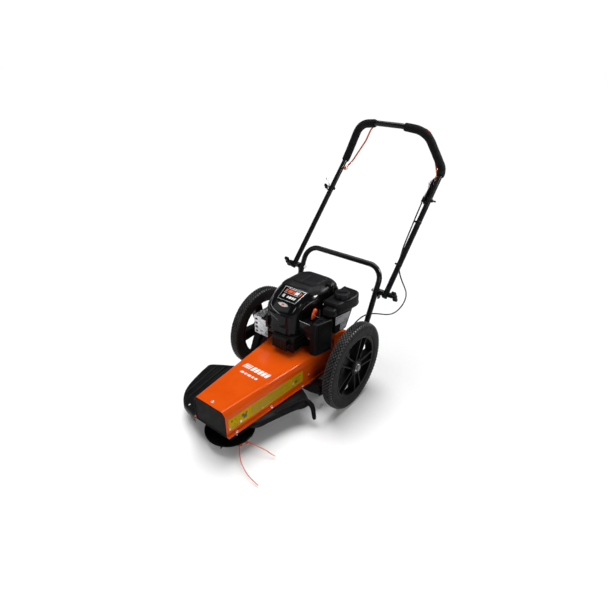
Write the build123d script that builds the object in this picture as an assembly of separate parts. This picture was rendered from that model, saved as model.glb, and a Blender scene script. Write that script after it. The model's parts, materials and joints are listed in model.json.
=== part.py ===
from build123d import *
import math
import os

# Walk-behind string trimmer mower.  Millimetres, +Z up.
# The machine is laid out about its wheel axle: X to the operator's left, -Y to the front,
# Z from the floor.  place() then moves every piece by AXLE_Y, so that the origin of the
# part lies on the floor in the middle of its footprint.

AXLE_Y = -91.3                  # wheel axle, from the origin

# wheels
WHEEL_R = 203.0                 # 16 inch wheel
TYRE_W = 48.0
TRACK_X = 269.0                 # centre plane of each wheel
BEAD_R = 150.0                  # where the tyre meets the rim
SPOKES = 5
AXLE_R = 10.0
BUSHING_R = 14.0
RUNNING = 0.05                  # radial clearance of a running fit

# deck
DECK_FRONT = -591.0
DECK_REAR = 165.0
DECK_TOP = 245.0
DECK_EDGE = 225.0               # where the bevel meets the side wall
FLANGE_Z = 128.0
FLANGE_W = 13.0
SHEET = 3.0
BASE_T = 4.0
BOLT_R = 3.0                    # M6 flange bolts
HOLE_R = 3.2

# trimmer head and belt drive
HEAD_Y = -498.0
HEAD_R = 105.0
SHAFT_R = 8.5
BEARING_R = 17.5
CRANK_Y = 30.0
CRANK_R = 11.1                  # 22.2 mm output shaft
DRIVE_R = 35.0
DRIVEN_R = 50.0
BELT_Z = 162.0
GROOVE = 12.0
BELT_W = 10.0
BELT_H = 8.0
IDLER_PIVOT = (92.0, -330.0)
IDLER_CENTRE = (71.5, -250.0)
IDLER_R = 20.0
LINE_R = 2.0

# handle
TUBE_R = 12.7                   # 1 inch tube
GRIP_R = 19.5
LOWER_X = 215.0
UPPER_X = 266.0
HINGE = (262.0, 448.0)          # y and z of the folding axis
LEG_ANGLE = 65.0                # lower handle, from the floor
UPPER_ANGLE = 45.7              # upper handle, from the floor
LEG_FOOT_Z = 160.0
CROSSBAR = (308.0, 547.0)
GRIP_BEND = (719.0, 915.0)
GRIP_CORNER = (178.0, 684.0, 1084.0)
BAR_END = (64.0, 652.0, 1101.0)
BEND_R = 52.0                   # bend at the top of each leg
CORNER_R = 110.0                # bend into the bar
BAIL_REACH = 575.0              # folding axis to bail axis, along the tube
BAIL_R = 4.0

# engine
ENGINE_BASE = 12.0              # thickness of the mounting flange
SKIRT_Z = 335.0                 # lower edge of the blower housing
HOUSING_TOP = 518.0
FLYWHEEL_R = 85.0

# control cable
CABLE_R = 3.2


def place(shape):
    """Move a piece from the axle to the origin of the part."""
    return Pos(0, AXLE_Y, 0) * shape


def save(name, shape):
    """Write one piece to its own STEP file."""
    solids = shape.solids()
    body = solids[0] if len(solids) == 1 else Compound(children=solids)
    export_step(place(body), f"parts/{name}.step")


def box(x0, x1, y0, y1, z0, z1):
    """A block between two corners."""
    block = Box(x1 - x0, y1 - y0, z1 - z0)
    return Pos((x0 + x1) / 2, (y0 + y1) / 2, (z0 + z1) / 2) * block


def post(x, y, z0, z1, r):
    """An upright cylinder."""
    return Pos(x, y, (z0 + z1) / 2) * Cylinder(r, z1 - z0)


def pin(x0, x1, y, z, r):
    """A cylinder along X."""
    return Pos((x0 + x1) / 2, y, z) * Rot(0, 90, 0) * Cylinder(r, abs(x1 - x0))


def mirrored(shape):
    """The same piece on the other side of the machine."""
    return mirror(shape, about=Plane.YZ)


def pair(shape):
    """A piece and its mirror image, as separate solids."""
    return Compound(children=[shape.solid(), mirrored(shape).solid()])


def plan(points, z0, z1):
    """A plate with the plan outline given as (x, y) points."""
    face = make_face(Polyline([(x, y, z0) for x, y in points], close=True))
    return extrude(face, amount=z1 - z0, dir=(0, 0, 1))


def frustum(low, z0, high, z1):
    """A solid between two plan outlines at different heights."""
    faces = [make_face(Polyline([(x, y, z) for x, y in ring], close=True))
             for ring, z in ((low, z0), (high, z1))]
    return loft(faces, ruled=True)


def side(points, x0, x1):
    """A plate with the side outline given as (y, z) points."""
    face = make_face(Polyline([(x0, y, z) for y, z in points], close=True))
    return extrude(face, amount=x1 - x0, dir=(1, 0, 0))


def turned(profile, y=0.0):
    """A solid turned about the upright axis at y, from (r, z) points."""
    face = make_face(Polyline([(r, y, z) for r, z in profile], close=True))
    return revolve(face, Axis((0, y, 0), (0, 0, 1)))


def wheel_turned(profile):
    """A solid turned about the axle, from (r, x) points."""
    face = make_face(Polyline([(x, 0, WHEEL_R + r) for r, x in profile], close=True))
    return revolve(face, Axis((0, 0, WHEEL_R), (1, 0, 0)))


def skin(top, bottom):
    """A closed sheet from two grids of points, one above the other."""
    rows, cols = len(top), len(top[0])
    faces = []

    def quad(a, b, c, d):
        faces.append(Face(Wire.make_polygon([a, b, c], close=True)))
        faces.append(Face(Wire.make_polygon([a, c, d], close=True)))

    for i in range(rows - 1):
        for j in range(cols - 1):
            quad(top[i][j], top[i + 1][j], top[i + 1][j + 1], top[i][j + 1])
            quad(bottom[i][j], bottom[i][j + 1], bottom[i + 1][j + 1], bottom[i + 1][j])
    for i in range(rows - 1):
        quad(top[i][0], bottom[i][0], bottom[i + 1][0], top[i + 1][0])
        quad(top[i][-1], top[i + 1][-1], bottom[i + 1][-1], bottom[i][-1])
    for j in range(cols - 1):
        quad(top[0][j], top[0][j + 1], bottom[0][j + 1], bottom[0][j])
        quad(top[-1][j], bottom[-1][j], bottom[-1][j + 1], top[-1][j + 1])
    return Solid(Shell(faces))


def tube(points, radii, r_out, r_in=0.0):
    """A round bar or tube along straight runs joined by tangent arcs."""
    path = FilletPolyline(*points, radius=radii)
    across = Plane(origin=path @ 0, z_dir=path % 0)
    outer = sweep(across * Circle(r_out), path=path)
    if not r_in:
        return outer
    return outer - sweep(across * Circle(r_in), path=path)


# ---------------------------------------------------------------- deck

def half_top(y):
    """Half width of the flat top of the deck."""
    return 73.0 + 0.0965 * (y - DECK_FRONT)


def half_wall(y):
    """Half width of the deck at its side walls."""
    return 87.0 + 0.087 * (y - DECK_FRONT)


def half_flange(y):
    """Half width of the deck over its lower flanges."""
    return half_wall(y) + FLANGE_W


def deck_section(y):
    """Folded sheet section of the deck at y."""
    t, w, f = half_top(y), half_wall(y), half_flange(y)
    inner_edge = DECK_EDGE - 1.3
    right = [(t, DECK_TOP), (w, DECK_EDGE), (w, FLANGE_Z + SHEET), (f, FLANGE_Z + SHEET),
             (f, FLANGE_Z), (w - SHEET, FLANGE_Z), (w - SHEET, inner_edge),
             (t - 1.3, DECK_TOP - SHEET)]
    left = [(-x, z) for x, z in reversed(right)]
    return make_face(Polyline([(x, y, z) for x, z in right + left], close=True))


FLANGE_BOLTS = [(half_wall(y) + 6.6, y) for y in (-550.0, -364.0, -179.0)]
ENGINE_BOLTS = [(-72.0, -20.0), (-72.0, 80.0), (72.0, 80.0)]
CABLE_ENTRY = (70.0, 193.0)      # y and z of the cable's hole in the deck
BRACKET_ENTRY = (71.0, 199.0)    # and in the rear bracket beside it


def bolt(x, y, z):
    """Flange bolt with the underside of its head at z and its shank below."""
    head = extrude(RegularPolygon(5.6, 6), amount=6.0)
    washer = extrude(Circle(6.3), amount=1.2)
    shank = Pos(0, 0, -16.0) * extrude(Circle(BOLT_R), amount=16.0)
    return Pos(x, y, z) * (head + washer + shank)


def make_hex_bolts():
    bolts = []
    for x, y in FLANGE_BOLTS:
        bolts += [bolt(x, y, FLANGE_Z + SHEET), bolt(-x, y, FLANGE_Z + SHEET)]
    for x, y in ENGINE_BOLTS:
        bolts.append(bolt(x, y, DECK_TOP + ENGINE_BASE))
    return Compound(children=[b.solid() for b in bolts])


def bolt_holes():
    """Clearance holes for everything the flange bolts pass through."""
    holes = []
    for x, y in FLANGE_BOLTS:
        holes += [post(x, y, 110, FLANGE_Z + SHEET, HOLE_R), post(-x, y, 110, FLANGE_Z + SHEET, HOLE_R)]
    for x, y in ENGINE_BOLTS:
        holes.append(post(x, y, 235, DECK_TOP + ENGINE_BASE, HOLE_R))
    return holes


def make_deck_cover():
    shell = loft([deck_section(DECK_FRONT), deck_section(DECK_REAR)], ruled=True)
    shell -= post(0, CRANK_Y, 235, 250, 40.0)
    y, z = CABLE_ENTRY
    shell -= pin(half_wall(y) - 20, half_wall(y) + 20, y, z, 7.0)
    for hole in bolt_holes():
        shell -= hole
    return shell


def make_base_plate():
    front, rear = half_flange(DECK_FRONT), half_flange(DECK_REAR)
    outline = [(-front, DECK_FRONT), (front, DECK_FRONT), (rear, DECK_REAR), (-rear, DECK_REAR)]
    plate = plan(outline, FLANGE_Z - BASE_T, FLANGE_Z)
    plate -= post(0, HEAD_Y, 100, 140, 28.3)
    plate -= post(0, CRANK_Y, 100, 140, 30.0)
    x, y = IDLER_PIVOT
    plate += post(x, y, FLANGE_Z, 192, 5.0)
    for hole in bolt_holes():
        plate -= hole
    return plate


def make_front_plate():
    t, w = half_top(DECK_FRONT), half_wall(DECK_FRONT)
    outline = [(-t + 1, DECK_TOP - 1), (t - 1, DECK_TOP - 1), (w - 1, DECK_EDGE - 1), (w - 1, 126.0),
               (-w + 1, 126.0), (-w + 1, DECK_EDGE - 1)]
    face = make_face(Polyline([(x, DECK_FRONT, z) for x, z in outline], close=True))
    return extrude(face, amount=SHEET, dir=(0, -1, 0))


# ---------------------------------------------------------------- debris shield

LEFT_WING = [
    ((-86, -586, 124), (-104, -588, 112)),
    ((-88, -566, 124), (-168, -566, 96)),
    ((-90, -544, 124), (-236, -542, 86)),
    ((-92, -506, 124), (-284, -498, 90)),
    ((-96, -452, 124), (-307, -446, 98)),
    ((-102, -380, 124), (-317, -372, 112)),
    ((-106, -330, 124), (-318, -322, 122)),
    ((-110, -290, 124), (-282, -292, 124)),
    ((-114, -240, 124), (-212, -250, 124)),
]
RIGHT_WING = [
    ((92, -480, 124), (103, -484, 112)),
    ((94, -450, 124), (120, -452, 101)),
    ((97, -405, 124), (134, -402, 100)),
    ((102, -350, 124), (152, -345, 100)),
    ((106, -300, 124), (172, -287, 100)),
    ((110, -255, 124), (194, -252, 101)),
    ((113, -215, 124), (196, -216, 104)),
    ((116, -184, 124), (150, -186, 112)),
]
LEFT_SKIRT, RIGHT_SKIRT = 22.0, 9.0


def wing(stations, out, skirt):
    """A sloping sheet with a turned-down rim, from its inner and outer edges."""
    top, bottom = [], []
    for (xi, yi, zi), (xo, yo, zo) in stations:
        top.append([(xi, yi, zi), (xo, yo, zo), (xo + 2 * out, yo, zo - skirt)])
        bottom.append([(xi, yi, zi - 4), (xo - 4 * out, yo, zo - 4),
                       (xo - 2 * out, yo, zo - skirt)])
    if out < 0:
        return skin(top, bottom)
    return skin(top[::-1], bottom[::-1])


def make_debris_shield():
    shield = wing(LEFT_WING, -1.0, LEFT_SKIRT) + wing(RIGHT_WING, 1.0, RIGHT_SKIRT)
    shield += box(-112, 112, -330, -250, 120, 124)
    root = [(168, -238), (200, -236), (202, -206), (170, -206)]
    knee = [(208, -230), (230, -230), (230, -206), (208, -206)]
    tip = [(229, -240), (244, -238), (244, -224), (229, -224)]
    shield += plan(root, 94, 107) + frustum(root, 94, knee, 78) + frustum(knee, 78, tip, 40)
    for hole in bolt_holes():
        shield -= hole
    return shield


# ---------------------------------------------------------------- chassis and axle

def beam_section(x, z0, z1, inset):
    """Cross-section of the transverse beam at x."""
    y0, y1 = -145 + inset, -95 - inset
    ring = [(x, y0, z0 + inset), (x, y1, z0 + inset), (x, y1, z1 - inset), (x, y0, z1 - inset)]
    return make_face(Polyline(ring, close=True))


def beam(inset):
    """Transverse beam, rising at both ends; an inset gives its hollow."""
    under = FLANGE_Z - BASE_T
    arm = loft([beam_section(144, 84, under, inset), beam_section(198, 94, 146, inset)], ruled=True)
    middle = extrude(beam_section(-144, 84, under, inset), amount=288, dir=(1, 0, 0))
    return middle + arm + mirrored(arm)


def make_axle_carrier():
    """Box-section beam under the deck, cheek plates for the axles, and the rear cross tube."""
    cheek = side([(-152, 94), (-60, 62), (80, 62), (140, 110), (165, 150), (186, 212), (150, 240),
                  (20, 240), (-30, 232), (-110, 150), (-152, 146)], 198, 202)
    whole = beam(0.0) - beam(3.0) + cheek + mirrored(cheek)
    whole += pin(-198, 198, *CROSS_TUBE, 10)
    whole -= pin(-197, 197, *CROSS_TUBE, 8)
    whole -= pin(-250, 250, 0, WHEEL_R, AXLE_R + 0.1)
    for y, z in LEG_BOLTS:
        whole -= pin(-250, 250, y, z, 4.2)
    return whole


def leg_point(z):
    """y of the lower handle's leg at height z."""
    return HINGE[0] + (z - HINGE[1]) / math.tan(math.radians(LEG_ANGLE))


LEG_BOLTS = [(leg_point(178.0), 178.0), (leg_point(222.0), 222.0)]
CROSS_TUBE = (178.0, 205.0)


def make_stub_axles():
    axle = pin(186, 296, 0, WHEEL_R, AXLE_R) + pin(296, 304.5, 0, WHEEL_R, 8.0)
    axle += pin(203, 243, 0, WHEEL_R, 16.0)
    return pair(axle)


def make_axle_nuts():
    nut = extrude(RegularPolygon(14.0, 6), amount=8.0) - Pos(0, 0, -1) * extrude(Circle(8.0), amount=10)
    nut = Pos(296.4, 0, WHEEL_R) * Rot(0, 90, 0) * nut
    return pair(nut)


def make_handle_brackets():
    """Gussets that tie the rear of the deck to the cross tube of the handle."""
    plate = side([(40, 131.5), (20, 246), (24, 292), (56, 300), (128, 276), (196, 226), (196, 188),
                  (150, 131.5)], 154, 157)
    tab = box(151.5, 154, 60, 130, 131.5, 160)
    bracket = plate - pin(140, 170, *CROSS_TUBE, 10.1) - pin(140, 170, *BRACKET_ENTRY, 9.0)
    bracket += tab
    return pair(bracket)


CROSS_R = 68.0                  # upper corners of the lower handle


def make_lower_handle():
    foot_y = leg_point(LEG_FOOT_Z)
    points = [(-LOWER_X, foot_y, LEG_FOOT_Z), (-LOWER_X, CROSSBAR[0], CROSSBAR[1]),
              (LOWER_X, CROSSBAR[0], CROSSBAR[1]), (LOWER_X, foot_y, LEG_FOOT_Z)]
    bar = tube(points, [CROSS_R, CROSS_R], TUBE_R, TUBE_R - 2.0)
    for y, z in LEG_BOLTS + [HINGE]:
        bar -= pin(-250, 250, y, z, 4.2)
    return bar


def make_handle_clamps():
    """Spacer cups between the two handle tubes, and their stop tabs."""
    cup = pin(228.5, 252.7, *HINGE, 14.0)
    cup += side([(HINGE[0] - 9, HINGE[1] - 34), (HINGE[0] + 9, HINGE[1] - 34),
                 (HINGE[0] + 11, HINGE[1]), (HINGE[0] - 11, HINGE[1])], 229, 235)
    cup -= pin(190, 330, *HINGE, 4.2)
    return pair(cup)


def make_fold_bolts():
    """Bolts on the folding axis and through the feet of the lower handle."""
    shank = pin(200, 300, *HINGE, 4.0) + pin(195, 200, *HINGE, 9.0)
    solids = [shank.solid(), mirrored(shank).solid()]
    for y, z in LEG_BOLTS:
        foot = pin(190, 228, y, z, 4.0) + pin(186, 190, y, z, 8.0) + pin(228, 233, y, z, 7.5)
        foot = pin(190, 196, y, z, 8.0) + foot
        solids += [foot.solid(), mirrored(foot).solid()]
    return Compound(children=solids)


# ---------------------------------------------------------------- spindle, head and belt

def make_spindle_housing():
    body = post(0, HEAD_Y, 82, 140, 28.0) + post(0, HEAD_Y, FLANGE_Z, FLANGE_Z + 6, 48.0)
    for k in range(4):
        a = math.radians(45 + 90 * k)
        body += post(38 * math.cos(a), HEAD_Y + 38 * math.sin(a), FLANGE_Z + 6, FLANGE_Z + 11, 6.0)
    return body - post(0, HEAD_Y, 70, 150, BEARING_R)


def bearing(z0):
    """A sealed ball bearing ring around the spindle."""
    ring = post(0, HEAD_Y, z0, z0 + 11, BEARING_R) - post(0, HEAD_Y, z0, z0 + 11, SHAFT_R + RUNNING)
    return ring


def make_spindle_bearings():
    return Compound(children=[bearing(84).solid(), bearing(127).solid()])


def make_spindle_shaft():
    return post(0, HEAD_Y, 30, 182, SHAFT_R) + post(0, HEAD_Y, 182, 190, 12.0)


def pulley(y, r, bore, z0, z1):
    """A grooved belt pulley on an upright shaft."""
    half = BELT_W / 2 + 1.0
    body = post(0, y, BELT_Z - half - 4, BELT_Z + half + 4, r)
    body -= post(0, y, BELT_Z - half, BELT_Z + half, r + 1) - post(0, y, 0, 400, r - GROOVE)
    body += post(0, y, z0, z1, bore + 8)
    return body - post(0, y, 0, 500, bore)


def make_driven_pulley():
    return pulley(HEAD_Y, DRIVEN_R, SHAFT_R, 146, 181.9)


def make_drive_pulley():
    return pulley(CRANK_Y, DRIVE_R, CRANK_R, 146, 178)


def belt_loop(r_head, r_crank, z0, z1):
    """Plate that fills a belt's outline around both pulleys."""
    gap = CRANK_Y - HEAD_Y
    lean = math.asin((r_head - r_crank) / gap)
    c, s = math.cos(lean), math.sin(lean)
    strip = plan([(-r_head * c, HEAD_Y + r_head * s), (r_head * c, HEAD_Y + r_head * s),
                  (r_crank * c, CRANK_Y + r_crank * s), (-r_crank * c, CRANK_Y + r_crank * s)], z0, z1)
    return strip + post(0, HEAD_Y, z0, z1, r_head) + post(0, CRANK_Y, z0, z1, r_crank)


def make_drive_belt():
    z0, z1 = BELT_Z - BELT_W / 2, BELT_Z + BELT_W / 2
    head, crank = DRIVEN_R - GROOVE + 0.5, DRIVE_R - GROOVE + 0.5
    return belt_loop(head + BELT_H, crank + BELT_H, z0, z1) - belt_loop(head, crank, z0 - 1, z1 + 1)


def make_head_disc():
    return turned([(SHAFT_R, 50), (HEAD_R - 2, 50), (HEAD_R, 52), (HEAD_R, 57), (HEAD_R - 3, 60),
                   (60, 62), (34, 64), (30, 78), (SHAFT_R, 78)], HEAD_Y)


def make_head_foot():
    """Dished glide that the front of the machine rests on."""
    dish = turned([(0, 0), (20, 0), (34, 3), (62, 16), (84, 30), (95, 42), (96, 50), (0, 50)], HEAD_Y)
    return dish - post(0, HEAD_Y, 30, 60, SHAFT_R)


LINE_A = [(94, -507, 44), (138, -497, 42), (184, -484, 34), (206, -478, 22), (222, -470, 12)]
LINE_B = [(84, -529, 44), (108, -556, 41), (142, -584, 34), (180, -602, 26), (220, -612, 18),
          (262, -613, 11)]


def spread(points):
    """Arc radii for a cord: as large as the runs at each point allow."""
    radii = []
    for a, b, c in zip(points, points[1:], points[2:]):
        before, after = Vector(b) - Vector(a), Vector(c) - Vector(b)
        half = math.radians(before.get_angle(after)) / 2
        radii.append(0.45 * min(before.length, after.length) / math.tan(half))
    return radii


def cord(name, points, r):
    """A cord's tube along its route, with its arc radii printed."""
    radii = spread(points)
    path = FilletPolyline(*points, radius=radii)
    body = sweep(Plane(origin=path @ 0, z_dir=path % 0) * Circle(r), path=path)
    error = body.volume / (math.pi * r * r * path.length)
    print(name, "length", round(path.length, 1), "volume ratio", round(error, 4),
          "radii", [round(v) for v in radii])
    return body


def opposite(points):
    """The same route half a turn round the head."""
    return [(-x, 2 * HEAD_Y - y, z) for x, y, z in points]


# ---------------------------------------------------------------- idler

def make_idler_arm():
    px, py = IDLER_PIVOT
    cx, cy = IDLER_CENTRE
    length = math.hypot(cx - px, cy - py)
    angle = math.degrees(math.atan2(cy - py, cx - px))
    bar = Pos((px + cx) / 2, (py + cy) / 2, 180) * Rot(0, 0, angle) * Box(length, 20, 5)
    arm = bar + post(px, py, 170, 190, 11) + post(cx, cy, 177.5, 182.5, 12)
    arm += post(cx, cy, 150, 178, 6.0) + post(cx, cy, 146, 150, 9.0)
    arm += box(px - 10, px + 6, py + 30, py + 34, 182.5, 196)
    return arm - post(px, py, 100, 200, 5.0 + RUNNING)


def make_idler_pulley():
    cx, cy = IDLER_CENTRE
    roller = post(cx, cy, 151, 173, IDLER_R)
    return roller - post(cx, cy, 140, 180, 6.0 + RUNNING)


# ---------------------------------------------------------------- wheels

def make_tyre():
    x0, x1 = TRACK_X - TYRE_W / 2, TRACK_X + TYRE_W / 2
    body = wheel_turned([(BEAD_R, x0 + 6), (164, x0), (184, x0), (196, x0 + 4), (WHEEL_R, x0 + 13),
                         (WHEEL_R, x1 - 13), (196, x1 - 4), (184, x1), (164, x1), (BEAD_R, x1 - 6),
                         (BEAD_R, x1 - 10), (158, x1 - 8), (172, x1 - 6), (186, x1 - 7),
                         (192, x1 - 14), (192, x0 + 14), (186, x0 + 7), (172, x0 + 6),
                         (158, x0 + 8), (BEAD_R, x0 + 10)])
    return body


def make_rim(phase):
    """Moulded wheel centre: barrel, dished web, five ribbed spokes and hub."""
    x0, x1 = TRACK_X - TYRE_W / 2, TRACK_X + TYRE_W / 2
    barrel = wheel_turned([(BEAD_R, x0 + 6), (BEAD_R, x1 - 6), (145, x1 - 4), (136, x1 - 6),
                           (139, x1 - 10), (139, x0 + 10), (136, x0 + 6), (145, x0 + 4)])
    hub = pin(246.5, 295.6, 0, WHEEL_R, 24.0) + pin(286, 294, 0, WHEEL_R, 34.0)
    rim = barrel + hub
    for k in range(SPOKES):
        turn = Rot(phase + 360.0 / SPOKES * k, 0, 0)
        web = side([(-17, 20), (17, 20), (26, 142), (-26, 142)], 268, 273)
        rib = side([(12, 20), (17, 20), (26, 142), (21, 142)], 253, 288)
        rib2 = side([(-17, 20), (-12, 20), (-21, 142), (-26, 142)], 253, 288)
        rim += Pos(0, 0, WHEEL_R) * turn * (web + rib + rib2)
    return rim - pin(240, 300, 0, WHEEL_R, BUSHING_R)


def make_bushings():
    """Flangeless sleeves pressed into both ends of the hub."""
    sleeves = []
    for x0, x1 in ((247, 265), (277, 295)):
        sleeve = pin(x0, x1, 0, WHEEL_R, BUSHING_R) - pin(x0 - 1, x1 + 1, 0, WHEEL_R, AXLE_R + RUNNING)
        sleeves.append(sleeve.solid())
    return Compound(children=sleeves)


# ---------------------------------------------------------------- engine

HOUSING = [                     # plan outlines of the blower housing, from its skirt to its top
    (SKIRT_Z, [(-118, -122), (-74, -148), (22, -148), (50, -112), (60, -52), (96, -6), (104, 40),
               (104, 132), (60, 158), (-86, 158), (-136, 118), (-146, -50)]),
    (430.0, [(-122, -112), (-84, -134), (24, -134), (51, -106), (60, -52), (96, -6), (104, 40),
             (104, 136), (60, 162), (-90, 162), (-138, 120), (-146, -50)]),
    (470.0, [(-104, -88), (-76, -100), (26, -100), (50, -86), (62, -46), (94, -6), (102, 40),
             (100, 132), (58, 156), (-84, 156), (-126, 114), (-132, -36)]),
    (505.0, [(-88, -30), (-72, -38), (42, -38), (54, -30), (66, -14), (86, 6), (92, 44),
             (88, 122), (52, 142), (-74, 142), (-106, 104), (-110, -8)]),
    (HOUSING_TOP, [(-66, -2), (-58, -8), (40, -8), (48, -4), (56, 8), (68, 24), (72, 50),
                   (68, 100), (44, 120), (-60, 120), (-84, 92), (-86, 12)]),
]


def stack(levels, inset=0.0, drop=0.0):
    """A solid through plan outlines, optionally shrunk towards the crank axis."""
    faces = []
    for z, points in levels:
        ring = []
        for x, y in points:
            reach = math.hypot(x, y - CRANK_Y)
            scale = (reach - inset) / reach
            ring.append((x * scale, CRANK_Y + (y - CRANK_Y) * scale, z - drop))
        faces.append(make_face(Polyline(ring, close=True)))
    return loft(faces, ruled=True)


GRIP_SPOT = (84.0, 70.0)
LEVER = (96.0, -62.0, 408.0)    # pivot of the engine speed lever


def make_blower_housing():
    shell = stack(HOUSING) - stack(HOUSING, 4.5, 4.5)
    console = box(60.5, 116, -104, -56, SKIRT_Z, 398) + box(66, 116, -56, -24, SKIRT_Z, 398)
    console -= box(64, 112, -100, -28, SKIRT_Z - 5, 394)
    shell += console
    shell += box(48, 64, -104, -60, SKIRT_Z, 398)
    x, y = GRIP_SPOT
    shell -= post(x, y, 478, 530, 15.5)
    shell += post(x, y, 470, 478, 15.5)
    shell -= post(x, y, 400, 480, 4.0)
    lx, ly, lz = LEVER
    ears = box(lx - 10, lx - 6, ly - 8, ly + 8, 398, lz + 6) + box(lx + 6, lx + 10, ly - 8, ly + 8, 398, lz + 6)
    shell += ears + pin(lx - 10, lx + 10, ly, lz, 2.5)
    return shell


def make_top_panel():
    outline = [(-60, 0), (36, 0), (52, 20), (56, 96), (40, 112), (-56, 112), (-76, 88), (-78, 16)]
    plate = plan(outline, HOUSING_TOP, 525.0)
    return plate.solid()


def make_engine_block():
    floor = DECK_TOP + ENGINE_BASE
    base = post(0, CRANK_Y, DECK_TOP, floor, 100.0)
    case = box(-88, 68, -58, 118, floor, 333)
    hollow = box(-80, 60, -50, 110, floor, 325)
    cylinder = box(-44, 50, -150, -58, 264, 324)
    fins = cylinder
    for k in range(5):
        z = 262.0 + 16.0 * k
        fins += box(-54, 58, -142, -62, z, z + 3)
    head = box(-54, 58, -152, -142, 262, 329)
    block = base + case + fins + head
    block -= hollow
    block -= post(0, CRANK_Y, 235, 345, CRANK_R + RUNNING + 0.4)
    block -= Pos(0, -96, 294) * Rot(90, 0, 0) * Cylinder(24, 84)
    block += post(-70, 128, floor, 320, 11)
    for x, y in ENGINE_BOLTS:
        block -= post(x, y, 235, floor, HOLE_R)
        block -= post(x, y, floor, floor + 10, 10.0)
    return block


def make_valve_cover():
    cover = box(-48, 34, -172, -152, 270, 326)
    for k in range(5):
        x = -40.0 + 16.0 * k
        cover += box(x, x + 4, -175, -172, 274, 322)
    return cover


def make_muffler():
    outline = [(-158, -144), (-128, -144), (-127, -124), (-147, -76), (-158, -76)]
    can = plan(outline, 292, 358)
    can -= plan([(-156, -142), (-130, -142), (-129, -125), (-148, -78), (-156, -78)], 294, 356)
    pipe = pin(-131, -54.2, -118, 306, 10) - pin(-132, -50, -118, 306, 8)
    return can + pipe


GUARD = [(-166, -154), (-122, -154), (-121.5, -126), (-144, -66), (-166, -66)]


def make_muffler_guard():
    """Slotted sheet box over the muffler, with a flange in front of its pipe."""
    guard = plan(GUARD, 284, 376)
    guard -= plan([(-162, -150), (-110, -150), (-110, -124), (-132, -60), (-162, -60)], 280, 372)
    for k in range(4):
        z = 290.0 + 21.0 * k
        guard -= box(-170, -158, -140, -78, z, z + 11)
        guard -= box(-160, -146, -160, -146, z, z + 11)
    for k in range(3):
        y = -134.0 + 20.0 * k
        guard -= box(-160, -146, y, y + 8, 370, 380)
    return guard + box(-124, -97, -154, -151, 284, 368) + box(-98, -86, -154, -151, 284, 338)


def make_air_filter_base():
    plate = box(117, 122, -112, -28, 268, 410)
    duct = box(112.5, 117, -60, -40, 300, 326)
    return plate + duct


def make_air_filter_element():
    return box(122.5, 146, -104, -42, 290, 392)


def make_air_filter_cover():
    """Box open towards the engine, its outer face turned a little to the front."""
    cover = plan([(122, -118), (152, -116), (178, -26), (122, -24)], 262, 420)
    cover = chamfer(cover.faces().sort_by(Axis.Z)[-1].edges().sort_by(Axis.X)[1:], 7)
    cover -= plan([(118, -113), (148.5, -111), (173, -30), (118, -28)], 267, 410)
    return cover


TANK_CAP = (158.0, 62.0)
TANK_TOP = 482.0
TANK_RIM = 430.0                # where the tank's upper shell starts


def make_fuel_tank():
    """Upper shell with a lower step in front, and a body that narrows below it."""
    body = plan([(105.5, -8), (170, -10), (184, 4), (203, 92), (206, 122), (186, 162), (105.5, 162)],
                TANK_RIM, TANK_TOP)
    body = fillet(body.edges().group_by(Axis.Z)[-1], 10)
    body += plan([(128, -40), (168, -40), (180, -30), (182, -12), (174, 0), (128, 0)], TANK_RIM, 462)
    body += frustum([(116, 16), (158, 16), (166, 92), (160, 112), (116, 112)], 312,
                    [(110, 2), (168, 2), (190, 94), (180, 138), (110, 138)], TANK_RIM + 3)
    body -= plan([(110, 2), (166, 2), (178, 12), (196, 93), (199, 120), (182, 156), (110, 156)],
                 TANK_RIM + 6, TANK_TOP - 6)
    body -= box(122, 152, 24, 104, 318, TANK_RIM + 10)
    body += post(*TANK_CAP, TANK_TOP - 8, TANK_TOP + 10, 24.0)
    return body - post(*TANK_CAP, TANK_TOP - 18, TANK_TOP + 20, 20.0)


def make_fuel_cap():
    cap = post(*TANK_CAP, TANK_TOP + 1.5, TANK_TOP + 31, 34.0)
    cap = fillet(cap.edges().group_by(Axis.Z)[-1], 5)
    cap -= post(*TANK_CAP, TANK_TOP - 8, TANK_TOP + 11, 24.6)
    for k in range(10):
        a = math.radians(36 * k)
        x, y = TANK_CAP[0] + 35.5 * math.cos(a), TANK_CAP[1] + 35.5 * math.sin(a)
        cap -= post(x, y, TANK_TOP - 8, TANK_TOP + 24, 3.5)
    return cap


def make_carburettor():
    body = box(69, 112, -62, -26, 290, 330)
    bowl = post(90, -44, 268, 290, 16.0)
    return body + bowl


def make_spark_plug():
    axis = Pos(47, -164, 300) * Rot(90, 0, 0)
    return axis * Cylinder(5, 24) + Pos(47, -172, 300) * Rot(90, 0, 0) * Cylinder(7.5, 8)


def make_speed_lever():
    lx, ly, lz = LEVER
    blade = side([(ly - 7, lz - 4), (ly + 7, lz - 4), (ly + 22, lz + 34), (ly + 8, lz + 40)], lx - 5.5, lx + 5.5)
    lever = pin(lx - 5.5, lx + 5.5, ly, lz, 5.2) + blade
    return lever - pin(lx - 12, lx + 12, ly, lz, 2.5 + RUNNING)


def make_starter_grip():
    x, y = GRIP_SPOT
    grip = post(x, y, 480, 517, 12.0) + Pos(x, y, 522.5) * Box(14, 40, 12)
    return grip + post(x, y, 412, 480, 2.5)


def make_crankshaft():
    return post(0, CRANK_Y, 142, 440, CRANK_R) + post(0, CRANK_Y, 268, 318, 30.0)


def make_flywheel():
    disc = post(0, CRANK_Y, 398, 408, FLYWHEEL_R)
    for k in range(12):
        turn = Pos(0, CRANK_Y, 0) * Rot(0, 0, 30 * k)
        disc += turn * box(38, 80, -2, 2, 408, 424)
    disc += post(0, CRANK_Y, 394, 424, 24.0)
    return disc - post(0, CRANK_Y, 380, 440, CRANK_R)


# ---------------------------------------------------------------- upper handle

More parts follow.
